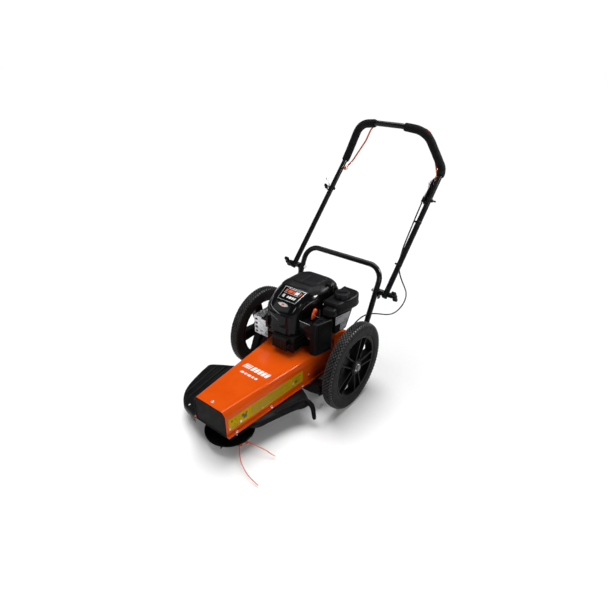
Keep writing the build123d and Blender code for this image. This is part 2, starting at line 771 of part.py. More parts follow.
UP = (math.cos(math.radians(UPPER_ANGLE)), math.sin(math.radians(UPPER_ANGLE)))
ACROSS = (-UP[1], UP[0])


def along(s, off=0.0):
    """(y, z) at distance s up the upper handle's leg, and off in front of its axis."""
    return (HINGE[0] + s * UP[0] + off * ACROSS[0], HINGE[1] + s * UP[1] + off * ACROSS[1])


BAIL_AXIS = along(BAIL_REACH)
BEND = along((GRIP_BEND[0] - HINGE[0]) / UP[0])


def half_route():
    """Left half of the upper handle, from its foot to the middle of the bar."""
    return [(UPPER_X, *along(-20)), (UPPER_X, *BEND), GRIP_CORNER, BAR_END]


def make_upper_handle():
    right = half_route()
    route = right + [(-x, y, z) for x, y, z in reversed(right)]
    radii = [BEND_R, CORNER_R, 60.0, 60.0, CORNER_R, BEND_R]
    bar = tube(route, radii, TUBE_R, TUBE_R - 2.0)
    bar -= pin(-330, 330, *HINGE, 4.0 + RUNNING)
    bar -= pin(-266, 266, *BAIL_AXIS, 4.2)
    bar -= pin(-300, -240, *along(GUIDE_S), 4.2)
    bar -= pin(240, 300, *along(BRACKET_S), 4.2)
    return bar


GUIDE_S = 450.0                 # rope guide bolt, up the tube
BRACKET_S = 490.0               # cable bracket bolt, up the tube


def make_foam_grip():
    """Foam sleeve from the top of the leg, round the corner, to the bar."""
    start = along(math.hypot(BEND[0] - HINGE[0], BEND[1] - HINGE[1]) - 34)
    p2, p3 = Vector(GRIP_CORNER), Vector(BAR_END)
    end = p3 + (p2 - p3).normalized() * 14
    points = [(UPPER_X, *start), (UPPER_X, *BEND), GRIP_CORNER, tuple(end)]
    return tube(points, [BEND_R, CORNER_R], GRIP_R, TUBE_R)


def make_rope_guide():
    """Pigtail wire that the starter rope hangs in, on the operator's left-hand tube."""
    y, z = along(GUIDE_S)
    stem = [(-282, y, z + 5), (-282, y, z + 22), (-290, y + 6, z + 34), (-299, y - 4, z + 44),
            (-293, y - 15, z + 52), (-282, y - 11, z + 49)]
    eye = tube(stem, [7, 8, 7, 6], 2.6)
    return eye + pin(-285, -279, y, z, 9.0) - pin(-330, -200, y, z, 4.2)


def make_guide_knob():
    """Bolt and wing knob that hold the rope guide."""
    y, z = along(GUIDE_S)
    bolt_part = pin(-290, -247, y, z, 4.0) + pin(-253.2, -247, y, z, 8.0)
    knob = pin(-304, -285.5, y, z, 9.0) + Pos(-297, y, z) * Rot(45, 0, 0) * Box(10, 12, 46)
    return bolt_part + knob


def make_cable_bracket():
    """Plate on the left tube that carries the bail and the cable."""
    low, high = along(BRACKET_S - 22), along(BAIL_REACH + 16)
    mid = along((BRACKET_S - 22 + BAIL_REACH + 16) / 2, 3.0)
    length = math.hypot(high[0] - low[0], high[1] - low[1])
    plate = Pos(250, *mid) * Rot(UPPER_ANGLE, 0, 0) * Box(5, length, 32)
    y, z = along(BRACKET_S - 8, 14)
    ferrule = Pos(244.5, y, z) * Rot(UPPER_ANGLE - 90, 0, 0) * Cylinder(6.5, 26)
    holder = plate + ferrule
    holder += pin(252, 300, *along(BRACKET_S), 4.0) + pin(279, 285, *along(BRACKET_S), 8.0)
    holder -= pin(240, 300, *BAIL_AXIS, 4.2)
    wire_way = Pos(244.5, y, z) * Rot(UPPER_ANGLE - 90, 0, 0) * Cylinder(3.8, 40)
    return holder - wire_way


def make_bail_pivots():
    pivot = pin(236, 266, *BAIL_AXIS, 4.0) + pin(231, 236, *BAIL_AXIS, 7.5)
    return pair(pivot)


BAIL_SHAPE = [(243.0, 0.0, 0.0), (240.0, 62.0, 26.0), (190.0, 104.0, 130.0), (158.0, 118.0, 219.0)]


def make_bail():
    """Orange wire loop behind the bar, with a hub on each end."""
    by, bz = BAIL_AXIS
    right = [(x, by + dy, bz + dz) for x, dy, dz in BAIL_SHAPE]
    route = right + [(-x, y, z) for x, y, z in reversed(right)]
    radii = [28.0, 60.0, 66.0, 66.0, 60.0, 28.0]
    loop = tube(route, radii, BAIL_R)
    for s in (-1, 1):
        loop += pin(s * 238.5, s * 247, by, bz, 9.0)
    loop += side([(by - 6, bz - 8), (by + 6, bz - 8), (by + 34, bz + 8), (by + 30, bz + 20),
                  (by - 2, bz + 9)], 238.5, 243)
    for s in (-1, 1):
        loop -= pin(s * 232, s * 250, by, bz, 4.0 + RUNNING)
    return loop


def make_fold_knob(s):
    """Wing knob on the folding axis; s is the side it is on."""
    knob = pin(279.2, 300, *HINGE, 12.0) + Pos(309, *HINGE) * Rot(28, 0, 0) * Box(22, 14, 60)
    knob = knob + pin(300, 320, *HINGE, 12.0)
    knob -= pin(270, 301, *HINGE, 4.0 + RUNNING)
    return knob if s > 0 else mirrored(knob)


CABLE = [(244.5, *along(BRACKET_S - 8, 14)), (246, 548, 762), (248, 505, 716), (248, 462, 664),
         (249, 420, 612), (252, 392, 562), (266, 374, 514), (279, 390, 464), (282, 426, 414),
         (276, 464, 366), (264, 488, 316), (250, 478, 272), (238, 432, 254), (226, 380, 266),
         (214, 330, 290), (200, 280, 312), (190, 232, 324), (186, 182, 328), (183, 134, 314),
         (178, 100, 276), (172, 82, 232), (160, 71, 198), (128, 69, 189), (104, 30, 189.5),
         (98, -20, 190), (95, -76, 190), (93, -136, 190.5), (91, -194, 190), (89, -240, 190),
         (88, -281, 190)]


def make_all():
    save("deck_cover", make_deck_cover())
    save("base_plate", make_base_plate())
    save("front_plate", make_front_plate())
    save("debris_shield", make_debris_shield())
    save("axle_carrier", make_axle_carrier())
    save("stub_axles", make_stub_axles())
    save("axle_nuts", make_axle_nuts())
    save("handle_brackets", make_handle_brackets())
    save("lower_handle", make_lower_handle())
    save("handle_clamps", make_handle_clamps())
    save("fold_bolts", make_fold_bolts())
    save("hex_bolts", make_hex_bolts())
    save("spindle_housing", make_spindle_housing())
    save("spindle_bearings", make_spindle_bearings())
    save("spindle_shaft", make_spindle_shaft())
    save("driven_pulley", make_driven_pulley())
    save("drive_pulley", make_drive_pulley())
    save("drive_belt", make_drive_belt())
    save("idler_arm", make_idler_arm())
    save("idler_pulley", make_idler_pulley())
    save("head_disc", make_head_disc())
    save("head_foot", make_head_foot())
    for k, route in enumerate((LINE_A, LINE_B, opposite(LINE_A), opposite(LINE_B)), 1):
        save(f"trimmer_line_{k}", cord(f"trimmer_line_{k}", route, LINE_R))
    for name, phase in (("left", 48.0), ("right", 15.0)):
        tyre, rim, sleeves = make_tyre(), make_rim(phase), make_bushings()
        if name == "right":
            tyre, rim, sleeves = (mirrored(p) for p in (tyre, rim, sleeves))
        save(f"tyre_{name}", tyre)
        save(f"rim_{name}", rim)
        save(f"bushings_{name}", sleeves)
    save("engine_block", make_engine_block())
    save("valve_cover", make_valve_cover())
    save("blower_housing", make_blower_housing())
    save("top_panel", make_top_panel())
    save("muffler", make_muffler())
    save("muffler_guard", make_muffler_guard())
    save("air_filter_base", make_air_filter_base())
    save("air_filter_element", make_air_filter_element())
    save("air_filter_cover", make_air_filter_cover())
    save("fuel_tank", make_fuel_tank())
    save("fuel_cap", make_fuel_cap())
    save("carburettor", make_carburettor())
    save("spark_plug", make_spark_plug())
    save("speed_lever", make_speed_lever())
    save("starter_grip", make_starter_grip())
    save("crankshaft", make_crankshaft())
    save("flywheel", make_flywheel())
    save("upper_handle", make_upper_handle())
    grip = make_foam_grip()
    save("foam_grip_left", grip)
    save("foam_grip_right", mirrored(grip))
    save("rope_guide", make_rope_guide())
    save("guide_knob", make_guide_knob())
    save("cable_bracket", make_cable_bracket())
    save("bail_pivots", make_bail_pivots())
    save("bail", make_bail())
    save("fold_knob_left", make_fold_knob(1))
    save("fold_knob_right", make_fold_knob(-1))
    save("control_cable", cord("control_cable", CABLE, CABLE_R))


os.makedirs("parts", exist_ok=True)
make_all()
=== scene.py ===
import json
from math import cos, exp, hypot, pi, radians, sin, tan

import bmesh
import bpy
from mathutils import Matrix, Vector
from mathutils.bvhtree import BVHTree


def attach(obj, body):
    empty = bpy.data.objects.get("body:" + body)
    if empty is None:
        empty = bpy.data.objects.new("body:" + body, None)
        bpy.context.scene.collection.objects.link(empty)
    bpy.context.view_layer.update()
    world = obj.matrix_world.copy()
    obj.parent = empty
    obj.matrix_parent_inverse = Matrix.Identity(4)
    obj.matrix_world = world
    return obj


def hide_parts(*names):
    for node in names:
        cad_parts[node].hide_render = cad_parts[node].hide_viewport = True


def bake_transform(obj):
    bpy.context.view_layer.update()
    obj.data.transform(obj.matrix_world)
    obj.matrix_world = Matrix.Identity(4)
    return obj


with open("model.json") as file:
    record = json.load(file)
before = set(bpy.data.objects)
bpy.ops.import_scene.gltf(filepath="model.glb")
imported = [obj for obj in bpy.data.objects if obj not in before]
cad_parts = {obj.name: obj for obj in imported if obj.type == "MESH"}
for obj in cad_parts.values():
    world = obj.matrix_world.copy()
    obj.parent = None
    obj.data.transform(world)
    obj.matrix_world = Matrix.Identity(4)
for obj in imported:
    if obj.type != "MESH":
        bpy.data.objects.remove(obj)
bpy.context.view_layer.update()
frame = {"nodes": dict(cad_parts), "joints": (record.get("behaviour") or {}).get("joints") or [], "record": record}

# Shapes are laid out in millimetres about the wheel axle, as the part's drawing is:
# X to the operator's left, -Y to the front, Z from the floor.
MM = 0.001
JOINTS = {j["name"]: j for j in frame["joints"]}
AXLE_Y = JOINTS["wheel_left_spin"]["pos_m"][1]
HINGE_Y = (JOINTS["handle_fold"]["pos_m"][1] - AXLE_Y) / MM
HINGE_Z = JOINTS["handle_fold"]["pos_m"][2] / MM
UPPER_ANGLE = radians(45.7)
WHEEL_R, TRACK_X = 203.0, 269.0
HUB = Vector((0.0, 0.0, WHEEL_R))
HEAD_Y = -498.0
DECK_FRONT, DECK_REAR, DECK_TOP, DECK_EDGE = -591.0, 165.0, 245.0, 225.0
FLANGE_Z, FLANGE_W, SHEET = 128.0, 13.0, 3.0
SIDES = (("left", 1), ("right", -1))
Z_TO_X = Matrix(((0, 0, 1, 0), (1, 0, 0, 0), (0, 1, 0, 0), (0, 0, 0, 1)))


def at(x, y, z):
    """A point of the layout in the row frame, in metres."""
    return Vector((x * MM, y * MM + AXLE_Y, z * MM))


def along(s, off=0.0):
    """(y, z) at distance s up the upper handle's tube from its hinge, and off in front of it."""
    c, d = cos(UPPER_ANGLE), sin(UPPER_ANGLE)
    return HINGE_Y + s * c - off * d, HINGE_Z + s * d + off * c


def half_top(y):
    """Half the width of the deck's top face at y."""
    return 73.0 + 0.0965 * (y - DECK_FRONT)


def half_wall(y):
    """Half the width of the deck across its side walls at y."""
    return 87.0 + 0.087 * (y - DECK_FRONT)


def linked(name, data):
    """A new object in the scene."""
    made = bpy.data.objects.new(name, data)
    bpy.context.collection.objects.link(made)
    return made


# ---- camera

def make_camera():
    azimuth, elevation, roll = radians(37.78), radians(29.88), radians(0.19)
    aim, distance = at(0.0, -1.1, 419.7), 2.0788
    back = Vector((sin(azimuth) * cos(elevation),
                   -cos(azimuth) * cos(elevation), sin(elevation)))
    camera = linked("camera", bpy.data.cameras.new("camera"))
    camera.data.sensor_width = 36.0
    camera.data.lens = 27.44
    camera.location = aim + back * distance
    turn = (-back).to_track_quat("-Z", "Y").to_matrix()
    camera.rotation_euler = (turn @ Matrix.Rotation(roll, 3, "Z")).to_euler()
    bpy.context.scene.camera = camera


make_camera()


# ---- materials

class Look:
    """A procedural material, put together node by node."""

    def __init__(self, name):
        self.made = bpy.data.materials.new(f"{name}_finish")
        self.made.use_nodes = True
        self.nodes = self.made.node_tree.nodes
        self.links = self.made.node_tree.links
        self.shader = self.nodes["Principled BSDF"]
        self.place = self.add("ShaderNodeTexCoord", {}).outputs["Object"]

    def add(self, kind, inputs, **settings):
        """A node with each input set to a value or linked to another node's output."""
        node = self.nodes.new(kind)
        for key, value in settings.items():
            setattr(node, key, value)
        for key, value in inputs.items():
            if isinstance(value, bpy.types.NodeSocket):
                self.links.new(value, node.inputs[key])
            else:
                node.inputs[key].default_value = value
        return node

    def noise(self, scale, detail=3.0, rough=0.5, place=None):
        place = place or self.place
        inputs = {"Scale": scale, "Detail": detail, "Roughness": rough, "Vector": place}
        return self.add("ShaderNodeTexNoise", inputs).outputs["Fac"]

    def cells(self, scale):
        inputs = {"Scale": scale, "Vector": self.place}
        return self.add("ShaderNodeTexVoronoi", inputs).outputs["Distance"]

    def spread(self, value, low, high, start=0.3, end=0.7):
        """A value from start to end turned into one from low to high."""
        inputs = {"From Min": start, "From Max": end, "To Min": low, "To Max": high, "Value": value}
        return self.add("ShaderNodeMapRange", inputs).outputs["Result"]

    def math(self, operation, a, b=0.0):
        return self.add("ShaderNodeMath", {0: a, 1: b}, operation=operation).outputs[0]

    def colour(self, value, dark, light):
        """Base colour between two, by a value from 0 to 1."""
        a_colour, b_colour, result_colour = 6, 7, 2
        inputs = {"Factor": value, a_colour: (*dark, 1.0), b_colour: (*light, 1.0)}
        mix = self.add("ShaderNodeMix", inputs, data_type="RGBA")
        self.links.new(mix.outputs[result_colour], self.shader.inputs["Base Color"])

    def clouds(self, scale, detail, rough, dark, light):
        """Base colour in soft patches."""
        self.colour(self.spread(self.noise(scale, detail, rough), 0.0, 1.0), dark, light)

    def rough(self, source, low, high):
        self.links.new(self.spread(source, low, high), self.shader.inputs["Roughness"])

    def bump(self, height, depth, strength=1.0, before=None):
        """Relief of the given depth in metres; before is a bump under it."""
        inputs = {"Height": height, "Distance": depth, "Strength": strength}
        if before is not None:
            inputs["Normal"] = before
        normal = self.add("ShaderNodeBump", inputs).outputs["Normal"]
        self.links.new(normal, self.shader.inputs["Normal"])
        return normal

    def set(self, **values):
        for key, value in values.items():
            self.shader.inputs[key.replace("_", " ")].default_value = value


# Finishes for surface(): darker and lighter colour, roughness and its spread, scale of the patches
# and of the grain, depth of the grain in metres, and settings of the shader.
FINISHES = {
    "orange_paint": ((0.665, 0.074, 0.003), (0.73, 0.09, 0.005), 0.34, 0.05, 9, 520, 8e-5,
                     dict(Specular_IOR_Level=0.0, Coat_Weight=0.3, Coat_Roughness=0.05)),
    "black_paint": ((0.003, 0.003, 0.0035), (0.0068, 0.0068, 0.0072), 0.28, 0.06, 14, 900, 6e-5,
                    dict(Specular_IOR_Level=0.1, Coat_Weight=0.2, Coat_Roughness=0.08)),
    "gloss_black": ((0.003, 0.003, 0.0035), (0.0055, 0.0055, 0.0065), 0.2, 0.05, 11, 260, 3e-5,
                    dict(Specular_IOR_Level=0.06, Coat_Weight=0.15, Coat_Roughness=0.05)),
    "plate_black": ((0.0036, 0.0034, 0.0032), (0.0068, 0.0064, 0.006), 0.5, 0.06, 14, 900, 6e-5,
                    dict(Specular_IOR_Level=0.04)),
    "cable_jacket": ((0.005, 0.005, 0.0055), (0.01, 0.01, 0.011), 0.38, 0.08, 40, 1600, 4e-5,
                     dict(Specular_IOR_Level=0.15)),
    # Tread blocks in a lighter copy of the tyre's rubber: a painted highlight on their tops, set against the
    # darker grooves.
    "tread_block_painted_highlight": ((0.022, 0.022, 0.0225), (0.058, 0.057, 0.056), 0.42, 0.1, 55, 850, 14e-5,
                    dict(Specular_IOR_Level=0.2)),
    # Light satin grey for the nose ribs and the shoulder line: a painted highlight on gloss black.
    "rib_painted_highlight": ((0.07, 0.07, 0.075), (0.14, 0.14, 0.145), 0.3, 0.08, 60, 1300, 3e-5,
                  dict(Specular_IOR_Level=0.4)),
    "orange_plastic": ((0.66, 0.07, 0.008), (0.74, 0.09, 0.012), 0.36, 0.07, 60, 1500, 5e-5,
                       dict(Specular_IOR_Level=0.3)),
    "line_nylon": ((0.66, 0.075, 0.012), (0.78, 0.11, 0.02), 0.3, 0.06, 90, 900, 6e-5,
                   dict(Subsurface_Weight=0.08)),
    "zinc_steel": ((0.52, 0.53, 0.55), (0.68, 0.69, 0.7), 0.3, 0.09, 60, 1300, 3e-5, dict(Metallic=1.0)),
    "dull_steel": ((0.1, 0.1, 0.105), (0.2, 0.2, 0.205), 0.42, 0.1, 80, 1300, 6e-5, dict(Metallic=0.9)),
    "iron": ((0.09, 0.085, 0.08), (0.18, 0.17, 0.165), 0.55, 0.1, 50, 800, 2e-4, dict(Metallic=0.85)),
    "cast_alloy": ((0.3, 0.31, 0.32), (0.45, 0.46, 0.47), 0.5, 0.1, 35, 700, 25e-5, dict(Metallic=0.9)),
    "dark_alloy": ((0.006, 0.006, 0.0065), (0.014, 0.0135, 0.013), 0.42, 0.1, 40, 600, 2e-4,
                   dict(Specular_IOR_Level=0.12)),
    "label_olive": ((0.52, 0.32, 0.0015), (0.61, 0.375, 0.003), 0.5, 0.06, 25, 1200, 2e-5,
                    dict(Specular_IOR_Level=0.0)),
    "label_grey": ((0.6, 0.61, 0.64), (0.78, 0.79, 0.82), 0.42, 0.06, 55, 1200, 2e-5, {}),
    "label_ink": ((0.1, 0.105, 0.11), (0.15, 0.155, 0.16), 0.45, 0.06, 60, 1400, 2e-5, {}),
    "ink": ((0.03, 0.022, 0.004), (0.06, 0.045, 0.008), 0.45, 0.08, 60, 1400, 2e-5, {}),
    "ink_soft": ((0.15, 0.092, 0.002), (0.2, 0.125, 0.003), 0.45, 0.06, 60, 1400, 2e-5, {}),
    "white_print": ((0.78, 0.77, 0.75), (0.88, 0.87, 0.86), 0.4, 0.06, 40, 1300, 2e-5, {}),
    "silver_print": ((0.4, 0.4, 0.41), (0.58, 0.58, 0.59), 0.3, 0.08, 50, 1200, 2e-5, dict(Metallic=0.7))}

# Plastics for grained(): darker and lighter colour, roughness, shine.
PLASTICS = {
    "matte_black": ((0.003, 0.003, 0.0034), (0.0068, 0.0068, 0.0076), 0.42, 0.07),
    "panel_grey": ((0.0066, 0.0066, 0.0078), (0.0125, 0.0125, 0.0142), 0.42, 0.09),
    "shield_plastic": ((0.003, 0.003, 0.0033), (0.0068, 0.0068, 0.0074), 0.4, 0.07),
    # A darker copy of the black plastic for the trimmer head: painted shade for the shadow under the deck.
    "head_plastic_painted_shade": ((0.0008, 0.0008, 0.0009), (0.0022, 0.0021, 0.0022), 0.5, 0.02),
    "belt_rubber": ((0.012, 0.012, 0.012), (0.03, 0.03, 0.03), 0.7, 0.3)}


def surface(name, dark, light, rough, spread, patches, grain, depth, settings):
    """A finish with cloudy colour and gloss, and fine grain in relief."""
    look = Look(name)
    look.clouds(patches, 4.0, 0.6, dark, light)
    look.rough(look.noise(patches * 2.7, 3.0, 0.55), rough - spread, rough + spread)
    look.bump(look.noise(grain, 2.0), depth)
    look.set(**settings)
    return look


def grained(name, dark, light, rough, shine):
    """Moulded plastic with a leathery spark-eroded grain."""
    look = Look(name)
    look.clouds(16.0, 4.0, 0.6, dark, light)
    look.rough(look.noise(38.0), rough - 0.08, rough + 0.08)
    pits = look.bump(look.cells(900.0), 0.00012, 0.7)
    look.bump(look.noise(2200.0, 2.0), 0.00006, 0.7, before=pits)
    look.set(Specular_IOR_Level=shine)
    return look


def make_rubber():
    """Tyre tread: dull rubber with a breath of dust, near-black and darker than the sidewall and the tread blocks
    as painted shade in the grooves.
    """
    look = Look("tyre_rubber")
    dust = look.spread(look.noise(23.0, 5.0, 0.65), 0.0, 1.0, 0.42, 0.78)
    look.colour(dust, (0.0009, 0.0009, 0.001), (0.0026, 0.0025, 0.0024))
    look.rough(look.noise(60.0), 0.22, 0.42)
    pores = look.bump(look.noise(850.0, 3.0, 0.6), 0.00018)
    look.bump(look.cells(320.0), 0.00008, 0.5, before=pores)
    look.set(Specular_IOR_Level=0.06)
    return look


def make_sidewall():
    """Smooth grey-black sidewall with faint moulding rings about the axle."""
    look = Look("sidewall")
    split = look.add("ShaderNodeSeparateXYZ", {0: look.place})
    y = look.math("SUBTRACT", split.outputs["Y"], AXLE_Y)
    z = look.math("SUBTRACT", split.outputs["Z"], WHEEL_R * MM)
    reach = look.math("SQRT", look.math("ADD", look.math("MULTIPLY", y, y), look.math("MULTIPLY", z, z)))
    rings = look.math("SINE", look.math("MULTIPLY", reach, 2600.0))
    look.clouds(17.0, 5.0, 0.6, (0.0113, 0.0108, 0.0107), (0.0164, 0.0156, 0.0155))
    look.rough(look.noise(45.0), 0.5, 0.66)
    fine = look.bump(look.noise(700.0, 3.0, 0.6), 0.00012)
    look.bump(rings, 0.00008, 0.6, before=fine)
    look.set(Specular_IOR_Level=0.06)
    return look


def make_foam():
    """Closed-cell foam: soft black with small open cells."""
    look = Look("foam")
    look.clouds(30.0, 4.0, 0.5, (0.004, 0.004, 0.0045), (0.0095, 0.0095, 0.0105))
    look.rough(look.noise(80.0, 2.0), 0.72, 0.92)
    cells = look.bump(look.cells(620.0), 0.0004)
    look.bump(look.noise(1900.0, 2.0), 0.0001, 0.8, before=cells)
    look.set(Specular_IOR_Level=0.06, Sheen_Weight=0.03, Sheen_Roughness=0.5)
    return look


def make_pressed_sheet():
    """Bright pressed sheet with dents and a brushed grain."""
    look = Look("guard_alloy")
    look.clouds(42.0, 4.0, 0.5, (0.36, 0.37, 0.38), (0.62, 0.62, 0.63))
    look.rough(look.noise(70.0), 0.16, 0.36)
    dents = look.bump(look.noise(48.0, 2.0, 0.4), 0.0016, 0.8)
    stretch = look.add("ShaderNodeMapping", {"Scale": (1.0, 1.0, 9.0), "Vector": look.place})
    brushed = look.noise(900.0, 2.0, 0.5, stretch.outputs["Vector"])
    look.bump(brushed, 0.00005, 0.6, before=dents)
    look.set(Metallic=1.0)
    return look


def make_paper():
    """Pleated filter paper."""
    look = Look("paper")
    look.clouds(120.0, 3.0, 0.5, (0.62, 0.54, 0.36), (0.74, 0.66, 0.47))
    wave = look.add("ShaderNodeTexWave", {"Scale": 60.0, "Vector": look.place}, bands_direction="Y")
    look.bump(wave.outputs["Fac"], 0.001)
    look.set(Roughness=0.85)
    return look


LOOKS = {"tyre_rubber": make_rubber(), "sidewall": make_sidewall(), "foam": make_foam(),
         "guard_alloy": make_pressed_sheet(), "paper": make_paper()}
LOOKS.update({name: surface(name, *row) for name, row in FINISHES.items()})
LOOKS.update({name: grained(name, *row) for name, row in PLASTICS.items()})


# ---- mesh tools

def rounded(points, radius, steps=4, closed=True):
    """A line of points with each corner turned into a short curve."""
    count, line = len(points), []
    for i, corner in enumerate(points):
        b = Vector(corner)
        if not closed and i in (0, count - 1):
            line.append(b)
            continue
        r = radius[i] if isinstance(radius, (list, tuple)) else radius
        to_a, to_c = Vector(points[i - 1]) - b, Vector(points[(i + 1) % count]) - b
        start = b + to_a.normalized() * min(r, 0.45 * to_a.length)
        end = b + to_c.normalized() * min(r, 0.45 * to_c.length)
        for k in range(steps + 1):
            t = k / steps
            line.append(start.lerp(b, t).lerp(b.lerp(end, t), t))
    return line


def offset(ring, inwards):
    """The plan of a closed outline, moved inwards."""
    ring = [Vector(p[:2]) for p in ring]
    count = len(ring)
    area = sum(a.x * b.y - b.x * a.y for a, b in zip([ring[-1], *ring], ring))
    side, out = (1.0 if area > 0 else -1.0), []
    for i, b in enumerate(ring):
        before, after = (b - ring[i - 1]).normalized(), (ring[(i + 1) % count] - b).normalized()
        n1, n2 = Vector((-before.y, before.x)) * side, Vector((-after.y, after.x)) * side
        out.append(b + (n1 + n2) * (inwards / max(0.4, 1.0 + n1.dot(n2))))
    return out


def level(ring, z):
    """A plan outline set at height z."""
    return [Vector((p[0], p[1], z)) for p in ring]


def circle(steps):
    """Points of a unit circle."""
    return [(cos(2 * pi * k / steps), sin(2 * pi * k / steps)) for k in range(steps)]


def skin(bm, rows, wrap=True, caps=(False, False), mat=0):
    """Faces between successive rows of points."""
    made = [[bm.verts.new(p) for p in row] for row in rows]
    for a, b in zip(made, made[1:]):
        count = len(a)
        for j in range(count if wrap else count - 1):
            k = (j + 1) % count
            bm.faces.new((a[j], a[k], b[k], b[j])).material_index = mat
    if caps[0]:
        bm.faces.new(made[0][::-1]).material_index = mat
    if caps[1]:
        bm.faces.new(made[-1]).material_index = mat


def solid(bm, rows, mat=0):
    """A skin closed at both ends."""
    skin(bm, rows, caps=(True, True), mat=mat)


def turned(bm, profile, centre, axis="z", steps=48, mat=0, closed=False):
    """A profile of (radius, distance along the axis) turned about the axis through centre."""
    line = list(profile) + ([profile[0]] if closed else [])
    rows = []
    for c, s in circle(steps) + circle(1):
        row = [(r * c, r * s, d) if axis == "z" else (d, r * c, r * s) for r, d in line]
        rows.append([Vector(p) + Vector(centre) for p in row])
    skin(bm, rows, wrap=False, mat=mat)


def bar(bm, path, radius, sides=12, flat=1.0):
    """A round bar along a line; radius may be one number for each point."""
    points = [Vector(p) for p in path]
    last, rows, across = len(points) - 1, [], None
    for i, p in enumerate(points):
        ahead = (points[min(i + 1, last)] - points[max(i - 1, 0)]).normalized()
        if across is None:
            across = ahead.orthogonal().normalized()
        across = (across - ahead * across.dot(ahead)).normalized()
        other = ahead.cross(across)
        r = radius[i] if isinstance(radius, (list, tuple)) else radius
        rows.append([p + across * (r * c) + other * (r * flat * s) for c, s in circle(sides)])
    solid(bm, rows)


def tapered(bm, line, radius, tip, sides=10, flat=1.0):
    """A bar that narrows to tip at both ends."""
    bar(bm, line, [tip] + [radius] * (len(line) - 2) + [tip], sides, flat)


def block(bm, low, high):
    """A box between two corners."""
    low, high = Vector(low), Vector(high)
    size = Matrix.Diagonal((*(high - low), 1.0))
    bmesh.ops.create_cube(bm, size=1.0, matrix=Matrix.Translation((low + high) / 2) @ size)


def moved(bm, first, matrix):
    """Moves the points made since the first one."""
    bm.verts.ensure_lookup_table()
    for v in bm.verts[first:]:
        v.co = matrix @ v.co


def ring_of_blocks(bm, low, high, centre, count, axis="Z", start=0.0):
    """Equal blocks round an axis through centre, the first one turned by start in degrees."""
    for k in range(count):
        first = len(bm.verts)
        block(bm, low, high)
        turn = Matrix.Rotation(radians(start + 360.0 * k / count), 4, axis)
        moved(bm, first, Matrix.Translation(centre) @ turn)


def soft_edge(radius, steps):
    """(distance inwards, distance from the face) round an edge, from its wall to its face."""
    turns = [pi / 2 * k / steps for k in range(steps + 1)] if radius else [0.0]
    return [(radius * (1 - cos(a)), radius * (1 - sin(a))) for a in turns]


def plate(bm, outline, z0, z1, soft=0.0, steps=3, soft_low=0.0):
    """A plate on a plan outline, with its upper and lower edges rounded."""
    rows = [(d, z0 + h) for d, h in reversed(soft_edge(soft_low, steps))]
    rows += [(d, z1 - h) for d, h in soft_edge(soft, steps)]
    solid(bm, [level(offset(outline, d), z) for d, z in rows])


def soften(made, width, angle, harden):
    """Rounds a piece's edges that are sharper than an angle in degrees."""
    edges = made.modifiers.new("Edges", "BEVEL")
    edges.width = width * MM
    edges.segments = 2
    edges.limit_method = "ANGLE"
    edges.angle_limit = radians(angle)
    edges.harden_normals = harden


def piece(name, bm, slot, replaces=(), body="chassis", looks=(), side=1, bevel=0.0, smooth=38.0,
          weld=0.005):
    """Turns a layout mesh into a piece that rides on a body; side -1 mirrors it."""
    if side < 0:
        bmesh.ops.scale(bm, vec=(-1, 1, 1), verts=bm.verts)
    bmesh.ops.remove_doubles(bm, verts=bm.verts, dist=weld)
    bmesh.ops.dissolve_degenerate(bm, edges=bm.edges, dist=weld)
    bmesh.ops.recalc_face_normals(bm, faces=bm.faces)
    for v in bm.verts:
        v.co = at(*v.co)
    mesh = bpy.data.meshes.new(name)
    bm.to_mesh(mesh)
    bm.free()
    mesh.shade_smooth()
    mesh.set_sharp_from_angle(angle=radians(smooth))
    made = linked(name, mesh)
    for look in looks or (slot,):
        mesh.materials.append(LOOKS[look].made)
    if bevel:
        soften(made, bevel, 34.0, True)
    if body is not None:
        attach(made, body)
    if replaces:
        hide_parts(*replaces)
    return made


BURIED = -0.2  # how far a decal's underside lies off the surface under it


def drop(tree, point, direction, lift):
    """Where a line from point meets a surface, lifted off it."""
    way = Vector(direction).normalized()
    hit, normal, _, _ = tree.ray_cast(Vector(point), way)
    if normal.dot(way) > 0:
        normal = -normal
    return hit + normal * lift


def decal(bm, tree, corners, direction, lift, mat, nu, nv):
    """A thin closed patch that lies on a surface, from four corners in order."""
    a, b, c, d = corners
    rows = []
    for j in range(nv + 1):
        starts = [a.lerp(b, i / nu).lerp(d.lerp(c, i / nu), j / nv) for i in range(nu + 1)]
        over, under = ([drop(tree, p, direction, h) for p in starts] for h in (lift, BURIED))
        rows.append(over + under[::-1])
    solid(bm, rows, mat)


# ---- cords

CABLE_R = 3.2
LINE_A = [(94, -507, 44), (138, -497, 42), (184, -484, 34), (206, -478, 22), (222, -470, 12)]
LINE_B = [(84, -529, 44), (108, -556, 41), (142, -584, 34), (180, -602, 26), (220, -612, 18),
          (262, -613, 11)]
CABLE = [(244.5, *along(482, 14)), (246, 548, 762), (248, 505, 716), (248, 462, 664),
         (249, 420, 612), (252, 392, 562), (266, 374, 514), (279, 390, 464), (282, 426, 414),
         (276, 464, 366), (264, 488, 316), (250, 478, 272), (238, 432, 254), (226, 380, 266),
         (214, 330, 290), (200, 280, 312), (190, 232, 324), (186, 182, 328), (183, 134, 314),
         (178, 100, 276), (172, 82, 232), (160, 71, 198), (128, 69, 189), (104, 30, 189.5),
         (98, -20, 190), (95, -76, 190), (93, -136, 190.5), (91, -194, 190), (89, -240, 190),
         (88, -281, 190)]


def route(name, points, radius=0.0):
    """A smooth curve with the given points as its control points, in the row frame."""
    curve = bpy.data.curves.new(name, "CURVE")
    curve.dimensions = "3D"
    curve.resolution_u = 12
    curve.bevel_depth = radius * MM
    curve.bevel_resolution = 4
    curve.use_fill_caps = radius > 0
    spline = curve.splines.new("NURBS")
    spline.points.add(len(points) - 1)
    for target, p in zip(spline.points, points):
        target.co = (*at(*p), 1.0)
    spline.order_u = 3
    spline.use_endpoint_u = True
    return linked(name, curve)


